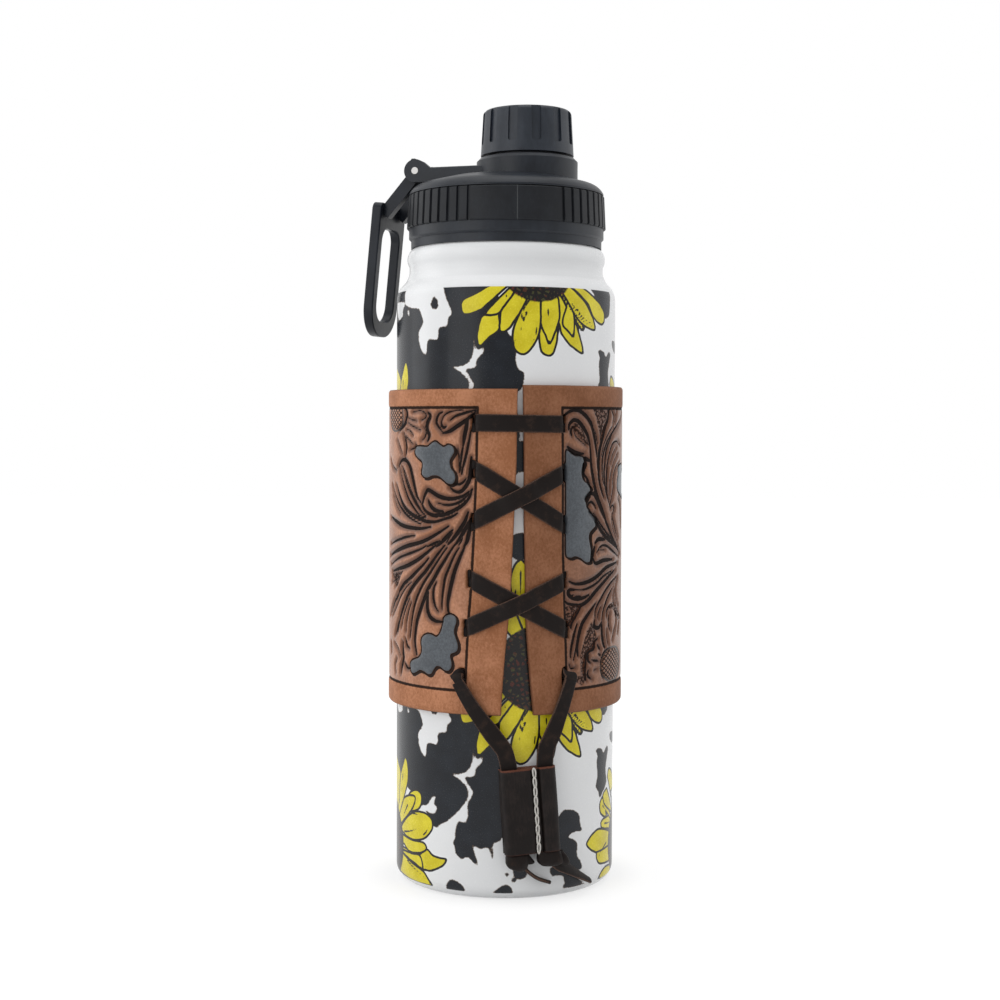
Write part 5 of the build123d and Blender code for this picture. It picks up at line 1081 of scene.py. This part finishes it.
laceRun = {"width": 5.6, "thick": 1.2, "rest": 39.9, "dive": 37.4, "lift": 1.45,
           # (start, end, over): (along the surface, height) at the slots
           "straps": [((-10.0, 152.6), (19.0, 152.2), False),
                      ((-10.0, 138.0), (19.2, 120.2), False), ((-10.3, 121.5), (19.0, 136.8), True),
                      ((-11.3, 103.4), (20.2, 86.6), False), ((-12.6, 87.6), (19.5, 102.6), True)],
           # runs behind the slots, from each upper slot to the next
           "backs": [((-10.0, 152.5), (-10.0, 138.0)), ((-10.3, 121.0), (-11.3, 103.2)), ((-12.6, 87.5), (-14.8, 71.5)),
                     ((19.0, 152.5), (19.0, 138.0)), ((19.2, 121.0), (19.6, 103.2)), ((20.2, 87.5), (20.8, 71.5))],
           "backDepth": 37.45,
           # short folds from the lowest slots to the free ends: (along, height, radius) and widths
           "folds": [([(-13.6, 72.6, 37.8), (-14.6, 73.3, 39.6), (-15.2, 72.4, 41.0), (-14.7, 70.9, 41.3),
                       (-13.7, 69.0, 41.25)], -1),
                     ([(19.5, 72.4, 37.8), (20.4, 73.2, 39.4), (21.3, 72.4, 40.4), (21.0, 70.9, 40.7),
                       (20.4, 69.0, 40.65)], 1)],
           "foldWide": (3.0, 3.3, 4.2, 4.7, 4.6), "foldLean": 0.6,
           # a strap rises beside its slots, turns flat a little further on, and humps where it lies over another
           "rises": (-0.2, 1.5), "flattens": (0.4, 3.2), "humpWide": 5.2, "backThick": 0.9,
           "steps": {"strap": 61, "back": 16, "fold": 6}, "seeds": {"strap": 11, "back": 31, "fold": 51}}


def slotRun(start, end, steps):
    # places along the surface and heights on the straight way from one slot to another
    share = np.linspace(0, 1, steps)
    return start[0] + (end[0] - start[0]) * share, start[1] + (end[1] - start[1]) * share


def frontLine(start, end, over):
    # the strap's middle line: it rises out of one slot, rests on the leather and dives into the other
    along, height = slotRun(start, end, laceRun["steps"]["strap"])
    reach = np.minimum(along - start[0], end[0] - along)
    radius = laceRun["dive"] + (laceRun["rest"] - laceRun["dive"]) * roundedStep(reach, *laceRun["rises"])
    if over:
        radius += laceRun["lift"] * np.exp(-((along - (start[0] + end[0]) / 2) / laceRun["humpWide"]) ** 4)
    return onRound(along, height, radius, sleeveArc), along, reach


def strapDirections(line, along):
    # across a strap at right angles to its run, on the round surface
    runs = unit(np.gradient(line, axis=0))
    across = unit(np.cross(runs, onRound(along, 0.0, 1.0, sleeveArc)))
    return across, np.cross(across, runs)


def joined(parts):
    # several meshes as one: points, faces and edge shares
    faces, start = [], 0
    for points, ownFaces, _ in parts:
        faces += [tuple(start + corner for corner in face) for face in ownFaces]
        start += len(points)
    return np.concatenate([part[0] for part in parts]), faces, np.concatenate([part[2] for part in parts])


def frontStrap(start, end, over, seed):
    line, along, reach = frontLine(start, end, over)
    across, out = strapDirections(line, along)
    # near a slot the strap's width stands upright, as the slot does
    upright = np.array([0.0, 0.0, 1.0]) * np.sign(across[len(line) // 2][2] or 1)
    share = roundedStep(reach, *laceRun["flattens"])[:, None]
    return ribbonMesh(line, unit(upright * (1 - share) + across * share), out, laceRun["width"], laceRun["thick"], seed)


def backStrap(start, end, seed):
    along, height = slotRun(start, end, laceRun["steps"]["back"])
    line = onRound(along, height, laceRun["backDepth"], sleeveArc)
    across, out = strapDirections(line, along)
    return ribbonMesh(line, across, out, laceRun["width"], laceRun["thick"] * laceRun["backThick"], seed)


def foldStrap(route, side, seed):
    # a short fold that turns from the upright slot down to the free end
    line = rounded([onRound(*place, sleeveArc) for place in route], False, laceRun["steps"]["fold"])
    share = np.linspace(0, 1, len(line))
    radial = onRound(np.arctan2(line[:, 0], -line[:, 1]) * sleeveArc, 0.0, 1.0, sleeveArc)
    runs = np.gradient(line, axis=0)
    flat = unit(np.cross(runs, radial) + laceRun["foldLean"] * side * np.cross(radial, (0, 0, 1.0)))
    turned = roundedStep(share, 0, 0.5)[:, None]
    across = unit(np.array([0, 0, 1.0]) * (1 - turned) * side + flat * turned)
    wide = np.interp(share, np.linspace(0, 1, len(laceRun["foldWide"])), laceRun["foldWide"])
    return ribbonMesh(line, across, unit(np.cross(across, runs)), wide, laceRun["thick"], seed)


def makeLace():
    seeds = laceRun["seeds"]
    parts = [frontStrap(*run, seeds["strap"] + number) for number, run in enumerate(laceRun["straps"])]
    parts += [backStrap(*run, seeds["back"] + number) for number, run in enumerate(laceRun["backs"])]
    parts += [foldStrap(*run, seeds["fold"] + number) for number, run in enumerate(laceRun["folds"])]
    points, faces, edges = joined(parts)
    meshPiece("lace_straps", points, faces, laceLeather, "sleeve", ("lace",), {"edge": edges})
    print("lace straps are laid")


makeLace()


# Slider bead: leather folded into two channels, its left ply stitched over the middle

beadShape = {
    # outline seen from above: (across, depth), from the back's left round the front
    "outline": [(-7.6, 0.15), (-8.6, 0.8), (-9.0, 2.6), (-8.8, 4.3), (-7.9, 5.3), (-6.4, 5.6), (-3.0, 5.62),
                (-0.6, 5.5), (0.35, 5.3), (0.75, 4.95), (1.15, 4.8), (1.9, 4.78), (2.6, 4.85), (2.85, 4.7),
                (3.05, 4.0), (3.3, 4.0), (3.5, 4.8), (3.9, 5.35), (5.2, 5.6), (7.0, 5.5), (8.3, 4.9), (8.9, 3.8),
                (9.0, 2.4), (8.6, 0.8), (7.6, 0.15)],
    # each channel's opening and its corners' radius
    "channel": (6.3, 1.9, 0.6), "rows": 40, "stitch": 1.65, "rawEdge": 0.45, "rawInside": 0.8}


def roundedBox(width, depth, corner, count=6):
    half, deep = width / 2 - corner, depth / 2 - corner
    corners = [((half, deep), 0), ((-half, deep), 90), ((-half, -deep), 180), ((half, -deep), 270)]
    return np.concatenate([arcPoints(centre, corner, start, start + 90, count) for centre, start in corners])


def beadLevel(outline, height):
    # the outline at one height: slightly uneven and pinched at the ends, as worn leather is
    level = height / bead["height"]
    pinch = 1 - 0.03 * abs(2 * level) ** 6
    x = outline[:, 0] * (1 + 0.008 * sin(7 * level + 1)) + 0.14 * sin(5 * level) * np.sin(outline[:, 1])
    depth = outline[:, 1] * pinch + 0.07 * np.sin(1.3 * outline[:, 0] + 6 * level) * (outline[:, 1] > 3)
    return np.stack([x, depth], -1)


def facesOutwards(piece):
    mesh = bmesh.new()
    mesh.from_mesh(piece.data)
    bmesh.ops.recalc_face_normals(mesh, faces=mesh.faces)
    mesh.to_mesh(piece.data)
    mesh.free()


def makeBead():
    top, rawEdge = bead["height"] / 2, beadShape["rawEdge"]
    rows = np.linspace(-top, top, beadShape["rows"])
    middles = [(side * bead["spacing"] / 2, bead["thick"] / 2) for side in (-1, 1)]
    loops = [rounded(beadShape["outline"], True, 3)[::-1]]
    loops += [roundedBox(*beadShape["channel"]) + middle for middle in middles]
    points, faces, edges, starts = [], [], [], []
    for number, loop in enumerate(loops):
        starts.append(len(points))
        for height in rows:
            level = loop if number else beadLevel(loop, height)
            points += [tuple(beadPoint(x, height, depth)) for x, depth in level]
            raw = beadShape["rawInside"] if number else max(0.0, abs(height) - top + rawEdge) / rawEdge
            edges += [raw] * len(loop)
        # the channels face the other way
        faces += [(b, c, d, a) if number else (a, d, c, b)
                  for a, b, c, d in gridFaces(len(rows), len(loop), starts[-1])]
    flat = [[Vector((x, y, 0)) for x, y in loop] for loop in loops]
    for row in (0, len(rows) - 1):
        index = np.concatenate([start + row * len(loop) + np.arange(len(loop)) for start, loop in zip(starts, loops)])
        faces += [tuple(index[list(corners)]) for corners in tessellate_polygon(flat)]
    piece = meshPiece("bead_body", points, faces, paintBead(), "bead", ("slider_bead",),
                      {"edge": np.array(edges)})
    facesOutwards(piece)
    print("slider bead is made")


beadFinish = {"face": (colour(0.010, 0.0072, 0.0066), colour(0.021, 0.0148, 0.0132)), "raw": colour(0.15, 0.05, 0.03),
              # its raw upper end is paler, above these heights
              "pale": (25, 35)}


def paintBead():
    finish = beadFinish
    paint = Paint("beadLeather", Specular_IOR_Level=0.18)
    fine = paint.noise(0.4, 4.0)
    grain = paint.noise(0.5, 3.0, place=paint.stretched((1.0, 1.0, 0.25)))
    cloud = paint.noise(5.0, 3.0)
    face = paint.blend((cloud + (grain - 0.5) * 0.9).rise(0.35, 0.8), *finish["face"])
    raw = (paint.attribute("edge") + (fine - 0.5) * 0.5).rise(0.3, 0.9)
    raw = raw * (0.25 + 0.75 * paint.axis(2).rise(*finish["pale"]))
    paint.feed("Base Color", paint.blend(raw * 0.85, face, finish["raw"]))
    paint.feed("Roughness", 0.45 + 0.25 * grain)
    paint.bump(grain + 0.6 * fine, 0.07, 0.8)
    return paint.material


makeBead()


# Chain stitching down the bead

# each link is a leaning loop of thread: half its width and height, and how far its top stands out
stitching = {"links": 9, "thread": 0.27, "loop": 0.42, "reach": 0.56, "lift": 0.16, "lean": 0.12, "depth": 5.15,
             "steps": 28, "sides": 8, "seed": 5, "shades": (colour(0.50, 0.47, 0.43), colour(0.76, 0.74, 0.70))}


def makeStitching():
    s = stitching
    steps, sides = s["steps"], s["sides"]
    pitch = bead["height"] / s["links"]
    points, faces = [], []
    chance = np.random.default_rng(s["seed"])
    out = beadPlane(0)[2]
    for number in range(s["links"]):
        middle = (number + 0.5) * pitch - bead["height"] / 2
        lean = chance.uniform(-s["lean"], s["lean"])
        path = []
        for step in range(steps):
            turn = tau * step / steps
            x = s["loop"] * sin(turn) * (1.0 + 0.25 * cos(turn))
            path.append(beadPoint(beadShape["stitch"] + x + lean * cos(turn), middle + pitch * s["reach"] * cos(turn),
                                  s["depth"] + s["lift"] * cos(turn)))
        faces += gridFaces(steps, sides, len(points), joinEnds=True)
        for step, place in enumerate(path):
            run = (path[(step + 1) % steps] - path[step - 1]).normalized()
            side = run.cross(out).normalized()
            for turn in np.arange(sides) * tau / sides:
                points.append(tuple(place + (side * cos(turn) + out * sin(turn)) * s["thread"]))
    paint = Paint("thread", Roughness=0.6)
    strands = paint.noise(0.3, 2.0, place=paint.stretched((1.0, 1.0, 1.6)))
    paint.feed("Base Color", paint.blend(strands.rise(0.3, 0.7), *s["shades"]))
    paint.bump(strands, 0.12, 0.8)
    meshPiece("chain_stitching", points, faces, paint.material, "bead", ("bead_stitching",))
    print("stitching is made")


makeStitching()


# Knots below the bead, with the lace's two tails

knots = {
    # lobes: (below the bead, left, right, back, front) across each knot's own middle
    "left": {"side": -1, "lobes": [
        [(0.0, -3.4, 3.4, 0.9, 4.9), (0.5, -3.6, 3.5, 0.5, 5.2), (1.7, -3.75, 3.6, 0.4, 5.3),
         (3.0, -3.7, 3.55, 0.5, 5.2), (4.2, -2.9, 3.1, 0.8, 4.8), (5.1, -1.2, 2.5, 1.2, 4.3),
         (5.7, 0.2, 1.7, 1.8, 3.7)],
        [(0.0, 1.6, 3.7, 0.8, 3.6), (1.5, 2.0, 4.5, 0.6, 3.9), (3.0, 2.6, 5.5, 0.6, 3.8), (3.7, 3.0, 5.2, 0.9, 3.3)]],
        "tail": [(5.2, 12.2, 39.6), (6.6, 10.9, 38.9), (10.6, 7.8, 38.3), (15.4, 5.9, 38.0)],
        "wide": (2.2, 1.9, 1.9, 1.7), "lean": (75, 90, 90, 90)},
    "right": {"side": 1, "lobes": [
        [(-0.2, -3.4, 3.5, 0.9, 4.9), (0.5, -3.6, 3.9, 0.5, 5.2), (2.0, -3.8, 4.3, 0.4, 5.3),
         (3.4, -3.6, 4.6, 0.5, 5.1), (4.4, -2.6, 4.4, 0.8, 4.6), (4.9, -1.2, 3.4, 1.4, 4.0)],
        [(0.6, 1.0, 4.9, 0.5, 3.9), (2.4, 2.0, 6.2, 0.4, 4.0), (4.2, 2.6, 6.9, 0.5, 3.6), (5.4, 3.6, 6.6, 0.8, 3.0)]],
        "tail": [(16.2, 13.4, 40.4), (18.4, 11.6, 39.8), (24.0, 8.4, 38.7), (32.0, 4.2, 38.1)],
        "wide": (4.6, 4.4, 3.4, 2.3), "lean": (10, 15, 30, 50)},
}
# a lobe's section is a rounded square; its shape repeats at every level, smaller at the capped ends
knotShape = {"sides": 36, "square": 3.2, "cap": 0.55, "steps": 5, "dent": 0.12, "tailThick": 1.15, "seed": 60,
             "tailSeed": 70}


def knotLobe(side, lobe, seed):
    # one bulge of a knot, laid up in levels from its top to its bottom
    lobe = rounded(lobe, False, knotShape["steps"])
    middle, square = side * bead["spacing"] / 2, knotShape["square"]
    count = knotShape["sides"]
    wave = np.random.default_rng(seed).uniform(0, tau, 3)
    points, edges = [], []
    levels = [(knotShape["cap"], lobe[0]), *((1.0, level) for level in lobe), (knotShape["cap"], lobe[-1])]
    for size, (below, left, right, back, front) in levels:
        for turn in np.linspace(0, tau, count, endpoint=False):
            shape = (abs(cos(turn)) ** square + abs(sin(turn)) ** square) ** (-1 / square) * size
            x = (left + right) / 2 + (right - left) / 2 * shape * cos(turn)
            depth = (back + front) / 2 + (front - back) / 2 * shape * sin(turn)
            depth += knotShape["dent"] * sin(1.6 * x + wave[0]) * cos(1.1 * below + wave[1])
            points.append(tuple(beadPoint(middle + x, -bead["height"] / 2 - bead["gap"] - below, depth)))
            edges.append(0.35 * abs(cos(turn)) ** 8)
    faces = [(a, d, c, b) for a, b, c, d in gridFaces(len(levels), count)]
    faces += [tuple(range(count)), tuple((len(levels) - 1) * count + step for step in range(count))[::-1]]
    return np.array(points), faces, np.array(edges)


def makeKnot(name, knot):
    side = knot["side"]
    parts = [knotLobe(side, lobe, knotShape["seed"] + number + side) for number, lobe in enumerate(knot["lobes"])]
    line = rounded([onRound(*place, sleeveArc) for place in knot["tail"]], False, 10)
    share = np.linspace(0, 1, len(line))
    marks = np.linspace(0, 1, len(knot["wide"]))
    lean = np.radians(np.interp(share, marks, knot["lean"]))[:, None]
    across, out = strapDirections(line, np.arctan2(line[:, 0], -line[:, 1]) * sleeveArc)
    turned, facing = across * np.cos(lean) + out * np.sin(lean), out * np.cos(lean) - across * np.sin(lean)
    wide = np.interp(share, marks, knot["wide"])
    parts.append(ribbonMesh(line, turned, facing, wide, knotShape["tailThick"], knotShape["tailSeed"] + side))
    points, faces, edges = joined(parts)
    piece = meshPiece("lace_knot_" + name, points, faces, laceLeather, "sleeve", ("knot_" + name,),
                      {"edge": edges})
    facesOutwards(piece)


for name, knot in knots.items():
    makeKnot(name, knot)
print("knots are made")


# Lid, loop, seals and inner steel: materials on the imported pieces

plastics = {
    "lid": {"low": colour(0.0095, 0.0125, 0.0185), "high": colour(0.0165, 0.021, 0.0295), "rough": 0.40,
            "grain": 0.35, "depth": 0.02, "shine": 0.38},
    "cap": {"low": colour(0.0145, 0.0195, 0.029), "high": colour(0.025, 0.032, 0.045), "rough": 0.42,
            "grain": 0.3, "depth": 0.025, "shine": 0.45},
    "grip": {"low": colour(0.0055, 0.0068, 0.0098), "high": colour(0.010, 0.0122, 0.0165), "rough": 0.5,
             "grain": 0.55, "depth": 0.05, "shine": 0.34},
    "loop": {"low": colour(0.008, 0.0105, 0.0155), "high": colour(0.014, 0.0175, 0.0245), "rough": 0.34,
             "grain": 0.6, "depth": 0.012, "shine": 0.26},
}
# the mould line on the grip ring's front, painted lighter as the highlight along its ridge, and the ring's pale specks
moulding = {"seam": 3.4, "line": colour(0.07, 0.075, 0.08), "speck": colour(0.05, 0.05, 0.05)}


def paintPlastic(name, seam=False):
    finish = plastics[name]
    paint = Paint(name + "Plastic", Specular_IOR_Level=finish["shine"])
    fine = paint.noise(finish["grain"], 4.0, 0.6)
    cloud = paint.noise(8.0, 4.0)
    scuff = paint.noise(1.4, 4.0, place=paint.stretched((1.0, 1.0, 0.3)))
    shade = paint.blend((cloud + (scuff - 0.5) * 0.5).rise(0.3, 0.75), finish["low"], finish["high"])
    height = fine
    if seam:
        # the mould line is a real ridge, painted lighter as its highlight
        line = (paint.axis(0) - moulding["seam"]).size().fall(0.08, 0.2) * paint.axis(1).fall(-10, 0)
        speck = paint.noise(0.42, 1.0).rise(0.72, 0.8)
        shade = paint.blend(line * 0.8, shade, moulding["line"])
        shade = paint.blend(speck * 0.6, shade, moulding["speck"])
        height = fine + 1.5 * line
    paint.feed("Base Color", shade)
    paint.feed("Roughness", finish["rough"] + 0.14 * (scuff - 0.5) + 0.08 * (fine - 0.5))
    paint.bump(height, finish["depth"], 0.8)
    return paint.material


def paintSilicone():
    paint = Paint("silicone", Roughness=0.55, Subsurface_Weight=0.08, Subsurface_Radius=(0.002, 0.002, 0.002))
    paint.feed("Base Color", paint.blend(paint.noise(4.0, 3.0), colour(0.55, 0.56, 0.56), colour(0.66, 0.66, 0.65)))
    paint.bump(paint.noise(0.4, 2.0), 0.01, 0.5)
    return paint.material


# name: (colour, roughness, stretch of the brush marks)
steels = {
    "brushedSteel": ((0.56, 0.56, 0.57), 0.3, (0.15, 0.15, 1.0)),
    "groundSteel": ((0.52, 0.52, 0.53), 0.34, (1.0, 0.12, 1.0)),
    "solder": ((0.42, 0.42, 0.43), 0.42, (1.0, 1.0, 1.0)), "getter": ((0.24, 0.235, 0.23), 0.6, (1.0, 1.0, 1.0)),
    "pinSteel": ((0.45, 0.44, 0.43), 0.3, (1.0, 1.0, 1.0))}


def paintSteel(name):
    shade, rough, stretch = steels[name]
    paint = Paint(name, Metallic=1.0)
    brushed = paint.noise(0.5, 4.0, 0.6, place=paint.stretched(stretch))
    cloud = paint.noise(6.0, 2.0)
    lighter = colour(*(1.12 * part for part in shade))
    paint.feed("Base Color", paint.blend(cloud * 0.5 + brushed * 0.5, colour(*shade), lighter))
    paint.feed("Roughness", rough + 0.12 * (brushed - 0.5) + 0.06 * (cloud - 0.5))
    paint.bump(brushed, 0.008, 0.6)
    return paint.material


def dressCad():
    dressed = [
        (paintPlastic("lid"), ("lid_core", "lid_housing", "drinking_spout", "lid_plug")),
        (paintPlastic("cap"), ("cap_liner", "spout_cap")),
        (paintPlastic("grip", True), ("grip_ring",)),
        (paintPlastic("loop"), ("carry_loop",)),
        (paintSilicone(), ("lid_gasket", "spout_seal")),
        (paintSteel("brushedSteel"), ("inner_flask",)),
        (paintSteel("groundSteel"), ("outer_bottom", "base_cap")),
        (paintSteel("solder"), ("vacuum_seal",)),
        (paintSteel("getter"), ("getter_pellet",)),
        (paintSteel("pinSteel"), ("hinge_pin",))]
    for material, names in dressed:
        for name in names:
            nodes[name].data.materials[0] = material
    print("plastic and steel are painted")


dressCad()
